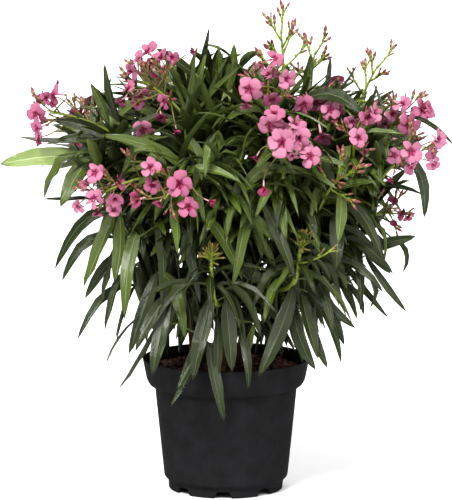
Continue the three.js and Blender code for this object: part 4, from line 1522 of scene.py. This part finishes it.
@dataclass
class Foliage:
    """Grows the twigs and leaves of every mass by the rule of the solids.

    Attributes:
        open_near: The angle between a leaf and its twig at the twig's tip, in degrees.
        open_far: The same at the twig's foot.
        tip_size: The size of the leaves at a twig's tip, as a share of the full one.
        young_room: The room that the leaves about a young shoot's tuft are taken to have.
        top_from: The height where the top of the crown begins, with slimmer leaves.
        past_space: How far a leaf may reach past the space nearest to its own mass.
        before_flower: How far a leaf stays from a flower that it would hide from the front.
        least_room: How far a leaf stays from the others, on the sides and at the top.
        good_room: How far is far enough to try no more.
        density: How many whorls grow for each whorl of the solids.
        tries: The turn, length and opening of a leaf's tries, until one stands clear.
    """

    leaf_length: float = 160
    leaf_width: float = 20.5
    open_near: float = 36
    open_far: float = 84
    open_young: float = 66
    tip_size: float = 0.7
    young_tip_size: float = 0.4
    young_room: float = 9
    top_from: float = 420
    top_depth: float = 90
    twig_length: float = 105
    twig_shortest: float = 55
    side_twig_length: float = 62
    side_twig_whorls: int = 4
    side_twig_size: float = 0.84
    clear_of_cane: float = 26
    clear_of_limb: float = 9
    clear_of_flower: float = 19
    before_flower: float = 15
    past_space: float = 60
    lowest: float = 60
    soil_top: float = 178
    rim_top: float = 195
    rim_inner: float = 104
    rim_outer: float = 125
    least_room: tuple[float, float] = (6.2, 4.2)
    good_room: tuple[float, float] = (10, 7)
    density: int = 3
    tries: tuple[Spot, ...] = (
        (0, 1, 1), (14, 1, 0.85), (-14, 0.95, 1.12), (32, 1, 1),
        (-32, 1, 0.9), (0, 0.86, 0.72), (-10, 0.74, 0.6),
    )
    side_twig_shares: tuple[float, ...] = (0.25, 0.5, 0.75)
    bough_ranks: tuple[float, ...] = (0.15, 0.35, 0.55, 0.75)
    single_key: int = 900
    outline: Outline = field(default_factory=Outline)

    def __post_init__(self) -> None:
        """Works out every limb, twig and stalk, and where leaves leave room for flowers."""
        canes = np.concatenate([c.curve.at(np.linspace(0, 1, 41)) for c in CANES.values()])
        self.grown = {
            name: Growth.of(mass, *self.mass_foot(mass, canes)) for name, mass in MASSES.items()
        }
        boughs = [g.bough.at(np.linspace(0, 0.94, 16)) for g in self.grown.values()]
        self.limb_points = np.concatenate([canes, *boughs])
        self.standing = np.zeros((0, 3))
        heads = [(s.head, s.young) for m in MASSES.values() for s in m.shoots if s.head]
        stem = UP * np.array([[0], [-26], [-52], [-76]])
        green = [array(head.at) + stem for head, young in heads if young]
        self.flower_points = np.concatenate([head.blooms()[:, :3] for head, _ in heads] + green)
        self.front_flowers = self.flower_points[self.flower_points[:, 1] < 40]

    def mass_foot(self, mass: Mass, canes: np.ndarray) -> tuple[np.ndarray, np.ndarray]:
        """Finds where a mass begins, clear of the canes.

        Args:
            mass: The mass.
            canes: Points along the canes.

        Returns:
            Its foot, and the way its twigs set off, away from the heart.
        """
        tips = np.array([s.tip for s in mass.shoots], float)
        way = unit(unit(tips - HEART).sum(0))
        length = self.twig_length
        foot = tips.mean(0) - way * length
        while length > self.twig_shortest and nearest(foot[None], canes)[0] < self.clear_of_cane:
            length -= 5
            foot = tips.mean(0) - way * length
        return foot, way

    def room(self, growth: Growth, line: np.ndarray) -> float:
        """Says how clear a leaf stands.

        Args:
            growth: The growth of its mass.
            line: The control points of its line.

        Returns:
            -1 if it leaves the mass's space, meets a limb, the pot or the soil, or hides a flower,
            and otherwise the least distance from its outer part to the leaves that stand.
        """
        points = arc_points(line, np.array([0.3, 0.45, 0.6, 0.75, 0.88, 1.0]))
        home = nearest(points, growth.spine) - self.past_space
        others = np.concatenate([g.spine for g in self.grown.values() if g is not growth])
        if (nearest(points, others) < home).any():
            return -1
        if (nearest(points, self.limb_points) < self.clear_of_limb).any():
            return -1
        radius, height = np.hypot(points[:, 0], points[:, 1]), points[:, 2]
        in_soil = (height < self.soil_top) & (radius < self.rim_outer)
        in_wall = (height < self.rim_top) & (radius > self.rim_inner) & (radius < self.rim_outer)
        if (in_soil | in_wall | (height < self.lowest)).any():
            return -1
        if (nearest(points, self.flower_points) < self.clear_of_flower).any() or self.hides(points):
            return -1
        if not self.outline.holds(points[2:]):
            return -1
        return float(nearest(points[1:], self.standing).min())

    def hides(self, points: np.ndarray) -> bool:
        """Says whether any point stands before a flower of the front, seen from the front."""
        away = points[:, None] - self.front_flowers[None]
        aside = np.hypot(away[..., 0], away[..., 2] + VIEW_SLOPE * away[..., 1])
        return bool(((away[..., 1] < 8) & (aside < self.before_flower)).any())

    def take(self, growth: Growth, leaf: Leaf) -> None:
        """Takes a leaf into its mass, and its outer part into what stands."""
        growth.leaves.append(leaf)
        self.standing = np.concatenate([self.standing, arc_points(leaf.line, np.linspace(0.35, 1, 7))])

    @staticmethod
    def leaf_line(
        base: np.ndarray, way: np.ndarray, side: np.ndarray, opening: float, length: float, sag: float
    ) -> tuple[np.ndarray, np.ndarray]:
        """Works out a leaf's line.

        It leaves the twig along out = cos(opening) * way + sin(opening) * side, held up a little
        where it hangs, and its outer part runs along unit(out - 1.15 * sag * up). The more it hangs,
        the sooner it bends.

        Args:
            base: Where it leaves the twig.
            way: The twig's way.
            side: The direction square to the twig that it leans to.
            opening: How far it leans, in radians.
            length: Its length.
            sag: How far it hangs.

        Returns:
            Its three control points, and its width's direction.
        """
        held = min(sag, 2.5)
        out = unit(way * math.cos(opening) + side * math.sin(opening) + UP * 0.12 * held)
        hung = unit(out - UP * 1.15 * sag)
        lead = 0.5 - 0.065 * held
        middle = base + out * lead * length
        across = np.cross(UP * 0.65 + way * 0.35, out)
        if np.linalg.norm(across) < 0.2:
            across = np.cross(side, way)
        return np.array([base, middle, middle + hung * (1 - lead) * length]), unit(across)

    def grow_whorl(self, growth: Growth, shoot: Shoot, whorl: Whorl) -> None:
        """Grows one whorl of three leaves, each by its first try that stands clear, or its best.

        Args:
            growth: The growth of the mass.
            shoot: The shoot, for how far its leaves hang and whether it is young.
            whorl: Where and how it grows.
        """
        twig, rank, size, tone, spin, keys = whorl
        normals, binormals = twig.frames
        step = round(FRAME_STEPS * mix(0.97, 0.2, rank))
        base, way = twig.at(step / FRAME_STEPS)[0], twig.way(step / FRAME_STEPS)[0]
        near, small = self.open_near, self.tip_size
        if shoot.young:
            near, small = self.open_young, self.young_tip_size
        top, full = within((base[2] - self.top_from) / self.top_depth), min(1, rank / 0.4)
        slim = mix(1.06, 0.7, top) * mix(0.55 if shoot.young else 1, 1, full)
        droop = 0.5 * within((-40 - base[1]) / 80)
        for i in range(3):
            own = (*keys, i)
            turn = spin + 120 * i + mix(44, 14, top) * (chance(*own, 1) - 0.5)
            grown = about(self.leaf_length, 0.24, *own, 2) * size * mix(small, 1, full)
            opening = math.radians(about(mix(near, self.open_far, rank), mix(0.26, 0.15, top), *own, 3))
            hang = min(2.3, about(shoot.sag * mix(0.45, 1.15, rank) + droop, 0.6, *own, 4))
            best, found = mix(*self.least_room, top), None
            for shift, shorter, folded in self.tries:
                side = spoke(normals[step], binormals[step], math.radians(turn + shift))
                length = grown * shorter
                line, across = self.leaf_line(base, way, side, opening * folded, length, hang)
                in_tuft = shoot.young and rank < 0.34
                clear = self.young_room if in_tuft else self.room(growth, line)
                if clear > best or (found is None and clear == best):
                    best, found = clear, (line, across, length)
                if clear > mix(*self.good_room, top):
                    break
            if found:
                line, across, length = found
                size_share = math.sqrt(length / self.leaf_length)
                width = self.leaf_width * size_share * about(slim, 0.24, *own, 5)
                self.take(growth, Leaf(line, across, width, tone, 1, own))

    def add_single(self, index: int, single: Single) -> None:
        """Grows one leaf of the outline, with a side twig from the nearest twig to its foot.

        Args:
            index: Its place in the list of single leaves.
            single: The leaf.
        """
        foot, tip = array(single.foot), array(single.tip)
        growth = min(self.grown.values(), key=lambda g: float(nearest(foot[None], g.spine)[0]))
        dense = np.concatenate([t.at(np.linspace(0.1, 1, 40)) for t in growth.twigs])
        root = dense[np.argmin(np.linalg.norm(dense - foot, axis=1))]
        way, length = unit(tip - foot), float(np.linalg.norm(tip - foot))
        keys = (self.single_key, index)
        aside = unit(np.cross(way, FRONT)) * (0.26 * (chance(*keys, 7) - 0.5) - single.bulge)
        middle = (foot + tip) / 2 + (UP * single.arch + FRONT * 0.03 + aside) * length
        across = unit(np.cross(unit(array((tip[0] * 0.5, tip[1] - 60, 60))), way))
        across = spoke(across, np.cross(way, across), math.radians(single.roll))
        gap = foot - root
        if np.linalg.norm(gap) > 7:
            rise = UP * 0.12 * np.linalg.norm(gap)
            growth.side_twigs.append(bezier(root, root + gap * 0.5 + rise, foot))
        line = np.array([foot, middle, tip])
        self.take(growth, Leaf(line, across, single.width, single.tone, 0.6, keys))

    @staticmethod
    def tone_of(rank: float, shoot: Shoot, *keys: int) -> Tone:
        """Deals a green out to a whorl: the tips of twigs are fresher than the rest, and high shoots
        get lighter greens, partly for their fresher leaves and partly as painted light on the crown's
        top.
        """
        # The top share lightens the greens of high shoots: partly fresher leaves, partly painted light
        # where light falls on the top.
        top = within((shoot.tip[2] - 370) / 110)
        draw = chance(*keys, 31) + 0.2 * (1 - rank) + 0.4 * top
        if draw > 1.2:
            return Tone.FRESH
        return Tone.MIDDLE if draw > 0.9 - 0.34 * top else Tone.DEEP

    def grow(self) -> None:
        """Grows the single leaves, then whorl by whorl over all shoots, then side twigs and boughs."""
        for index, single in enumerate(SINGLES):
            self.add_single(index, single)
        shoots = [
            (growth, twig, shoot, (m, s))
            for m, (growth, mass) in enumerate(zip(self.grown.values(), MASSES.values()))
            for s, (twig, shoot) in enumerate(zip(growth.twigs, mass.shoots))
        ]
        for w in range(self.density * max(shoot.whorls for _, _, shoot, _ in shoots)):
            for growth, twig, shoot, place in shoots:
                count = shoot.whorls * self.density
                if w < count:
                    rank, keys = w / (count - 1), (*place, w)
                    size, tone = about(1, 0.06, *keys, 9), self.tone_of(rank, shoot, *keys)
                    self.grow_whorl(growth, shoot, Whorl(twig, rank, size, tone, 30 + 37 * w, keys))
        for m, (growth, mass) in enumerate(zip(self.grown.values(), MASSES.values())):
            for s, (twig, shoot) in enumerate(zip(growth.twigs, mass.shoots)):
                for k, share in enumerate(self.side_twig_shares):
                    self.grow_side_twig(growth, twig, shoot, share, (m, s, 50 + k))
            for k, rank in enumerate(self.bough_ranks):
                whorl = Whorl(growth.bough, rank, 1, Tone.DEEP, 50 * k, (m, 90, k))
                self.grow_whorl(growth, mass.shoots[0], whorl)

    def grow_side_twig(
        self, growth: Growth, twig: Curve, shoot: Shoot, share: float, keys: tuple[int, ...]
    ) -> None:
        """Grows a side twig with whorls of its own, if its tip keeps to the mass's space.

        Args:
            growth: The growth of the mass.
            twig: The twig it leaves.
            shoot: The shoot that the twig belongs to.
            share: Where it leaves the twig.
            keys: The keys of its random numbers.
        """
        step = round(FRAME_STEPS * share)
        normals, binormals = twig.frames
        side = spoke(normals[step], binormals[step], math.tau * chance(*keys, 1))
        out = unit(twig.way(share)[0] + side * 0.9)
        length = about(self.side_twig_length, 0.2, *keys, 2)
        start = twig.at(share)[0]
        branch = bezier(start, start + out * 0.5 * length, start + out * length + UP * 0.16 * length)
        if self.room(growth, np.array([start, branch.at(0.5)[0], branch.at(1)[0]])) < 0:
            return
        growth.side_twigs.append(branch)
        for w in range(self.side_twig_whorls):
            own, rank = (*keys, w), w / (self.side_twig_whorls - 1)
            tone = self.tone_of(rank, shoot, *own)
            whorl = Whorl(branch, rank, self.side_twig_size, tone, 30 + 40 * w, own)
            self.grow_whorl(growth, shoot, whorl)


# Blossom


PETAL_CUT = BladeCut((1, 0.4, -0.4, -1), (0,), (1, 0, 1, 1, 1))
FLOWER_HINT = (0.12, 0.35, 0.93)


class Bloom(NamedTuple):
    """An open flower: where its mouth is, the way it faces, its turn, opening, pink and size."""

    mouth: np.ndarray
    facing: np.ndarray
    turn: float
    opening: float
    pink: Pink
    size: float


class Bud(NamedTuple):
    """A bud: its foot, the way it points, its size and whether it is a young green one."""

    foot: np.ndarray
    aim: np.ndarray
    size: float
    young: bool


def flower_rings(
    foot: np.ndarray, way: np.ndarray, along: np.ndarray, radius: np.ndarray, angle: np.ndarray
) -> np.ndarray:
    """Gives rings about straight lines: foot + along * way + radius * (cos a * side + sin a * other).

    Args:
        foot: Where each line begins.
        way: The way of each line.
        along: How far each ring stands along its line, as lines x rings.
        radius: The radius of each ring, as lines x rings.
        angle: The angles of the points, as rings x points.

    Returns:
        The rings, as lines x rings x points x 3.
    """
    side, other = square_pair(way, FLOWER_HINT)
    spokes = spoke(side[:, None, None], other[:, None, None], angle)
    middles = foot[:, None] + along[..., None] * way[:, None]
    return middles[:, :, None] + radius[..., None, None] * spokes


@dataclass
class Blossom:
    """The flowers, buds, stalks and arms of one cane; the outermost sprig leans by lean degrees."""

    petal_length: float = 17.5
    petal_width: float = 17
    petals: int = 5
    tube: float = 13
    bud_length: float = 15
    bud_radius: float = 2.6
    arm_radius: float = 1.05
    stalk_radius: float = 2.3
    lean: float = 82
    sprig_length: float = 30
    tuft_length: float = 7
    blooms: list[Bloom] = field(default_factory=list)
    buds: list[Bud] = field(default_factory=list)
    arms: list[tuple[Curve, StalkPart]] = field(default_factory=list)
    stalks: list[Curve] = field(default_factory=list)

    def add_head(self, shoot: Shoot, stalk: Curve, keys: tuple[int, ...]) -> None:
        """Adds a shoot's head: its stalk, its open flowers and its sprigs of buds.

        Args:
            shoot: The shoot.
            stalk: Its stalk's curve.
            keys: The keys of its random numbers.
        """
        self.stalks.append(stalk)
        head, flowers, outlook = array(shoot.head.at), shoot.head.blooms(), shoot.head.outlook
        for k, row in enumerate(flowers):
            own = (*keys, k)
            mouth, size, opening = row[:3], row[3], row[4]
            out = unit(mouth - head)
            jitter = np.array([chance(*own, key) for key in (61, 62, 63)]) - 0.5
            facing = unit(outlook + out * 0.35 + jitter * 1.5)
            if opening < 0.6:
                facing = unit(out + outlook * 0.4 + jitter * 0.8 - UP * 0.4)
                size *= 1.35
            draw = 0.3 * chance(*keys, 65) + 0.36 * chance(*own, 66) + 0.6 * (1 - opening)
            pink = Pink(min(max(Pink), int(draw * len(Pink))))
            self.blooms.append(Bloom(mouth, facing, math.tau * chance(*own, 68), opening, pink, size))
            base = mouth - facing * (self.tube + 3) * size
            start = stalk.at(1 - 0.6 * (k + 0.5) / len(flowers))[0]
            reach = float(np.linalg.norm(base - start))
            bend = start + unit(base - start + UP * 0.3 * reach) * 0.4 * reach
            arm = bezier(start, bend, base - facing * 0.25 * reach, base)
            self.arms.append((arm, StalkPart.RUSSET))
        self.add_sprigs(shoot, stalk, StalkPart.RUSSET if len(flowers) else StalkPart.GREEN, keys)

    def add_sprigs(self, shoot: Shoot, stalk: Curve, part: StalkPart, keys: tuple[int, ...]) -> None:
        """Adds sprigs of four or five buds, each on an arm at the golden angle from the last.

        Args:
            shoot: The shoot.
            stalk: Its stalk's curve.
            part: The slot of the arms.
            keys: The keys of its random numbers.
        """
        axis = stalk.way(1.0)[0]
        side, other = square_pair(axis[None], (0.0, 1.0, 0.0))
        for k in range(shoot.head.sprigs):
            own = (*keys, 40 + k)
            rank = (k + 0.5) / shoot.head.sprigs
            lean = math.radians(self.lean) * math.sqrt(rank)
            turn = math.radians(GOLDEN_ANGLE * k + 60 * chance(*own, 1))
            out = spoke(side[0], other[0], turn)
            way = unit(spoke(axis, out, lean) + UP * 0.25)
            length = about(self.tuft_length if shoot.young else self.sprig_length, 0.3, *own, 2)
            start = stalk.at(1 - 0.66 * rank)[0]
            if shoot.head.side and k == shoot.head.sprigs - 1:
                start = array(shoot.tip) - UP * 14
                reach = array(shoot.head.side) - start
                way, length = unit(reach), float(np.linalg.norm(reach))
            end = start + way * length
            self.arms.append((bezier(start, start + unit(way - UP * 0.2) * 0.5 * length, end), part))
            ways, others = square_pair(way[None], (0.2, 0.9, 0.1))
            first = math.tau * chance(*own, 4)
            for b in range(4 + int(chance(*own, 3) > 0.5)):
                spread = spoke(ways[0], others[0], math.tau * b / 3.4 + first)
                aim = unit(way + spread * (0.6 if b else 0.1) + UP * 0.15)
                root = end - way * 0.35 * length * (b > 2)
                foot = root + aim * (7.0 if b else 1.0)
                if b:
                    self.arms.append((bezier(root - way * 2, root + aim * 2, foot), part))
                size = about(0.55 if shoot.young else 0.85, 0.3, *own, 5 + b)
                self.buds.append(Bud(foot, aim, size, shoot.young))

    def flower_surface(self, name: str) -> Surface:
        """Makes petals, tubes and buds.

        Args:
            name: The name of the object.

        Returns:
            The surface of all of them.
        """
        surface = Surface(name)
        if self.blooms:
            self.add_petals(surface)
            self.add_tubes(surface)
        if self.buds:
            self.add_buds(surface)
        return surface

    def add_petals(self, surface: Surface) -> None:
        """Adds the petals of each flower.

        A petal's line is mouth + (1 + length * t) * out + (1.6 * sin(pi * t) - fold * t^2) * rise,
        where out = cos(closing) * spoke + sin(closing) * way and rise is square to it. The petal is
        broadest at three fifths of its length and turned a little like a vane, and no two are alike.

        Args:
            surface: What they are added to.
        """
        mouth, facing, turn, opening, pink, size = map(np.array, zip(*self.blooms))
        side, other = square_pair(facing, FLOWER_HINT)
        angle = turn[:, None] + ring_angles(self.petals)
        spokes = spoke(side[:, None], other[:, None], angle).reshape(-1, 3)
        cup = np.random.default_rng(34).uniform(6, 32, len(mouth)) + 52 * (1 - opening)
        way, middle, scale, slot, cup = (
            np.repeat(column, self.petals, 0) for column in (facing, mouth, size[:, None], pink, cup)
        )
        vary, fold, vane, long = np.random.default_rng(33).uniform(-1, 1, (len(way), 4)).T[..., None]
        closing = np.radians(cup[:, None] + 15 * vary)
        out = spokes * np.cos(closing) + way * np.sin(closing)
        rise = way * np.cos(closing) - spokes * np.sin(closing)
        t = np.array([0, 0.2, 0.36, 0.6, 0.84, 0.96, 1.0])
        arch = scale * (1.6 * np.sin(math.pi * t) - (4.2 + 3.6 * fold) * t**2)
        reach = scale * (1 + self.petal_length * t * (1 + 0.12 * long))
        lines = middle[:, None] + reach[..., None] * out[:, None] + arch[..., None] * rise[:, None]
        lean = 0.4 + 0.16 * vane
        across = unit(-(np.cross(way, spokes) * np.cos(lean) + rise * np.sin(lean)))
        lines = lines - (scale * 1.8 * t**2)[..., None] * across[:, None]
        share = np.array([0.3, 0.56, 0.8, 1.02, 0.94, 0.7, 0.34])
        halves = scale * self.petal_width / 2 * share * (1 + 0.08 * long)
        lift, depth = 0.16 + 0.1 * fold, np.array([[0.25]])
        rings = PETAL_CUT.blades(lines, across, halves, lift, depth, 0.6 * vane * t**2)
        bands = np.minimum(np.array([0, 0, 1, 1, 1, 2])[:, None] + np.array(PETAL_CUT.parts), 2)
        slots = 3 * slot[:, None, None] + bands
        edges = (0, len(PETAL_CUT.upper) - 1)
        surface.add(rings[:, 1:-1], lines[:, [0, -1]], slots, PETAL_CUT.map_across, t, edges)

    def add_tubes(self, surface: Surface) -> None:
        """Adds each flower's tube, which flares to the mouth and turns in to the dark throat.

        Args:
            surface: What they are added to.
        """
        mouth, facing, _, _, _, size = map(np.array, zip(*self.blooms))
        size = size[:, None]
        back = self.tube
        depth = np.array([-back - 3.4, -back - 3, -back, -back * 0.5, -1.2, 0.6, -1.0, -3.6])
        radius = np.array([0.7, 1.5, 1.4, 1.7, 2.0, 1.9, 1.3, 0.7])
        rings = flower_rings(mouth, facing, depth * size, radius * size, ring_angles(8)[None])
        poles = np.stack([mouth - facing * (back + 3.6) * size, mouth - facing * 4.6 * size], 1)
        kinds = [BlossomPart.CALYX] * 3 + [BlossomPart.TUBE] * 2 + [BlossomPart.THROAT] * 4
        surface.add(rings, poles, np.array(kinds, int)[:, None])

    def add_buds(self, surface: Surface) -> None:
        """Adds the buds: slim spindles, calyx below and rolled petals above.

        Args:
            surface: What they are added to.
        """
        foot, aim, size, young = map(np.array, zip(*self.buds))
        size = size[:, None]
        share = np.array([0.0, 0.1, 0.26, 0.3, 0.52, 0.74, 0.9])
        radius = np.array([0.5, 0.72, 0.78, 0.62, 1.0, 0.72, 0.34]) * self.bud_radius
        angle = ring_angles(6) + (share * 1.6)[:, None]
        rings = flower_rings(foot, aim, share * self.bud_length * size, radius * size, angle)
        poles = np.stack([foot - aim * 0.4, foot + aim * self.bud_length * size], 1)
        kinds = [BlossomPart.CALYX] * 4 + [BlossomPart.BUD_SIDE] + [BlossomPart.BUD_TIP] * 3
        slots = np.where(young[:, None], int(BlossomPart.YOUNG), np.array(kinds, int))
        surface.add(rings, poles, slots[..., None])

    def stalk_surface(self, name: str) -> Surface:
        """Makes the stalks and arms: tubes that taper to their ends.

        Args:
            name: The name of the object.

        Returns:
            The surface of all of them.
        """
        surface = Surface(name)
        shares = np.linspace(0, 1, 9)
        lines = np.array([stalk.at(shares) for stalk in self.stalks])
        radii = np.broadcast_to(self.stalk_radius * (1.15 - 0.5 * shares), lines.shape[:2])
        surface.add(*tubes(lines, radii, 7))
        if self.arms:
            lines = np.array([arm.at(np.linspace(0, 1, 6)) for arm, _ in self.arms])
            parts = np.array([part for _, part in self.arms], int)[:, None]
            stout = np.where(parts == StalkPart.RUSSET, 1, 1.3) * self.arm_radius
            radii = stout * np.array([1.6, 1.3, 1.15, 1.0, 0.9, 0.9])
            surface.add(*tubes(lines, radii, 5), parts[..., None])
        return surface


# The pieces of the plant


@dataclass
class PlantGroup:
    """What one cane carries: its bark, its boughs, twigs, leaves and blossom.

    Attributes:
        key: The cane's name.
        finishes: The materials by their names.
        bough_radius: A bough's radius at its foot and at its end, as for the twigs.
    """

    key: str
    foliage: Foliage
    finishes: dict[str, bpy.types.Material]
    bough_radius: tuple[float, float] = (3.7, 2.5)
    twig_radius: tuple[float, float] = (2.5, 2.0)
    side_twig_radius: tuple[float, float] = (1.7, 1.1)

    def __post_init__(self) -> None:
        """Picks the masses that the cane carries, and what grows on them."""
        self.masses = {name: mass for name, mass in MASSES.items() if mass.cane == self.key}
        self.grown = [self.foliage.grown[name] for name in self.masses]
        self.shoots = [shoot for mass in self.masses.values() for shoot in mass.shoots]
        self.order = list(CANES).index(self.key)

    def looks(self, finishes: list[Finish]) -> list[bpy.types.Material]:
        """Gives the materials of these finishes."""
        return [self.finishes[finish.name] for finish in finishes]

    def nodes(self, kind: str) -> list[str]:
        """Gives the names of the masses' solids of one kind."""
        return [f"{kind}_{name}" for name in self.masses]

    def build(self) -> None:
        """Makes every piece of the group and hides the solids it stands for."""
        self.build_bark()
        self.build_twigs()
        leaves = [leaf for growth in self.grown for leaf in growth.leaves]
        surface = leaf_surface(f"leaves_{self.key}", leaves)
        surface.piece(self.looks(LEAF_FINISHES), "foliage", self.nodes("foliage"))
        log.info("%d leaves on the %s cane", len(leaves), self.key)
        self.build_blossom()

    def build_bark(self) -> None:
        """Makes the cane and its boughs."""
        cane, order = CANES[self.key], self.order
        bark = Surface(f"bark_{self.key}")
        radius = cane.radius(CANE_RELIEF.rings(cane.curve))
        CANE_RELIEF.add_limb(bark, cane.curve, radius, 70 + order)
        bark.piece(self.looks([CANE_FINISH]), "cane_bark", [f"cane_{self.key}"])
        boughs = Surface(f"boughs_{self.key}")
        for i, growth in enumerate(self.grown):
            radius = mix(*self.bough_radius, BOUGH_RELIEF.rings(growth.bough))
            BOUGH_RELIEF.add_limb(boughs, growth.bough, radius, 200 + 10 * order + i)
        boughs.piece(self.looks([BOUGH_FINISH]), "bough_bark", self.nodes("bough"))

    def build_twigs(self) -> None:
        """Makes the twigs, with a joint at every sixth of their length and a green end under a head."""
        twigs = Surface(f"twigs_{self.key}")
        shares = np.linspace(0, 1, 22)
        lines = np.array([twig.at(shares) for growth in self.grown for twig in growth.twigs])
        young = np.array([shoot.young for shoot in self.shoots])[:, None]
        headed = np.array([shoot.head is not None for shoot in self.shoots])[:, None]
        joints = 1 + 0.14 * np.maximum(0, np.cos(shares * math.tau * 6)) ** 4
        green = headed & (np.linspace(0, 1, 23) > np.where(young, 0.35, 0.6))
        radii = np.where(young, 1.55, 1.0) * mix(*self.twig_radius, shares) * joints
        twigs.add(*tubes(lines, radii, 10), green.astype(int)[..., None])
        sides = [twig for growth in self.grown for twig in growth.side_twigs]
        if sides:
            lines = np.array([twig.at(np.linspace(0, 1, 8)) for twig in sides])
            radii = np.broadcast_to(np.linspace(*self.side_twig_radius, 8), lines.shape[:2])
            twigs.add(*tubes(lines, radii, 7))
        looks = self.looks([TWIG_FINISH, STALK_FINISH])
        twigs.piece(looks, "bough_bark", self.nodes("foliage"))

    def build_blossom(self) -> None:
        """Makes the flowers and their stalks."""
        blossom = Blossom()
        for m, (name, mass) in enumerate(MASSES.items()):
            for s, (shoot, stalk) in enumerate(zip(mass.shoots, self.foliage.grown[name].stalks)):
                if name in self.masses and stalk:
                    blossom.add_head(shoot, stalk, (m, s))
        if blossom.stalks:
            flowers = blossom.flower_surface(f"blossom_{self.key}")
            flowers.piece(self.looks(BLOSSOM_FINISHES), "foliage", self.nodes("foliage"))
            stalks = blossom.stalk_surface(f"stalks_{self.key}")
            stalks.piece(self.looks([STALK_FINISH, RUSSET_FINISH]), "foliage", self.nodes("foliage"))


# Studio


@dataclass(frozen=True)
class Studio:
    """A plain pale floor, soft light and the camera at the photograph's angle.

    Attributes:
        lights: The name, the way, the width in degrees and the strength of each light.
    """

    target: Spot = (0, 0, 345)
    distance: float = 4.0
    elevation: float = 8.2
    frame_height: float = 0.715
    film_height: float = 36
    floor_radius: float = 60.0
    floor_sides: int = 96
    surroundings: float = 0.5
    lights: tuple[tuple[str, Spot, float, float], ...] = (
        ("key", (-0.55, -1.0, 1.35), 24, 3.9),
        ("fill", (0.9, -0.9, 1.1), 40, 1.3),
        ("back", (0.2, 0.9, 1.2), 40, 1.4),
    )

    def camera(self) -> None:
        """Sets up the camera: its lens shows frame_height at the target's distance."""
        data = bpy.data.cameras.new("photo_camera")
        data.sensor_fit = "VERTICAL"
        data.sensor_height = self.film_height
        data.lens = self.film_height * self.distance / self.frame_height
        data.clip_end = 200
        angle = math.radians(self.elevation)
        way = Vector((0, -math.cos(angle), math.sin(angle)))
        made = placed("photo_camera", data)
        made.location = Vector(self.target) * MM + way * self.distance
        made.rotation_euler = (-way).to_track_quat("-Z", "Y").to_euler()
        bpy.context.scene.camera = made

    def floor(self) -> None:
        """Lays the floor, a pale disc with a faint even grain."""
        mesh = bpy.data.meshes.new("floor")
        turn = ring_angles(self.floor_sides)
        edge = np.stack([np.cos(turn), np.sin(turn), 0 * turn], -1) * self.floor_radius
        mesh.from_pydata(edge.tolist(), [], [list(range(self.floor_sides))])
        mesh.materials.append(FLOOR_FINISH.material())
        placed("floor", mesh)

    def light(self, name: str, way: Spot, width: float, strength: float) -> None:
        """Shines a wide soft light over the plant and the whole floor.

        Args:
            name: Its name.
            way: Where it comes from.
            width: How wide it looks, in degrees.
            strength: Its strength.
        """
        data = bpy.data.lights.new(name, "SUN")
        data.angle = math.radians(width)
        data.energy = strength
        placed(name, data).rotation_euler = Vector(way).to_track_quat("Z", "Y").to_euler()

    def build(self) -> None:
        """Sets up the camera, floor, surroundings and lights."""
        self.camera()
        self.floor()
        world = bpy.data.worlds.new("studio")
        bpy.context.scene.world = world
        world.use_nodes = True
        sky = world.node_tree.nodes["Background"].inputs
        sky["Color"].default_value = (1, 1, 1, 1)
        sky["Strength"].default_value = self.surroundings
        for light in self.lights:
            self.light(*light)
        view = bpy.context.scene.view_settings
        view.view_transform = "Standard"
        view.look = "Medium High Contrast"


def main() -> None:
    logging.basicConfig(level=logging.INFO, format="%(message)s")
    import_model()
    Studio().build()
    NurseryPot().build()
    PottingSoil().build()
    foliage = Foliage()
    foliage.grow()
    barks = [CANE_FINISH, BOUGH_FINISH, TWIG_FINISH, STALK_FINISH, RUSSET_FINISH]
    used = [*LEAF_FINISHES, *BLOSSOM_FINISHES, *barks]
    finishes = {finish.name: finish.material() for finish in used}
    for key in CANES:
        PlantGroup(key, foliage, finishes).build()


if __name__ == "__main__":
    main()
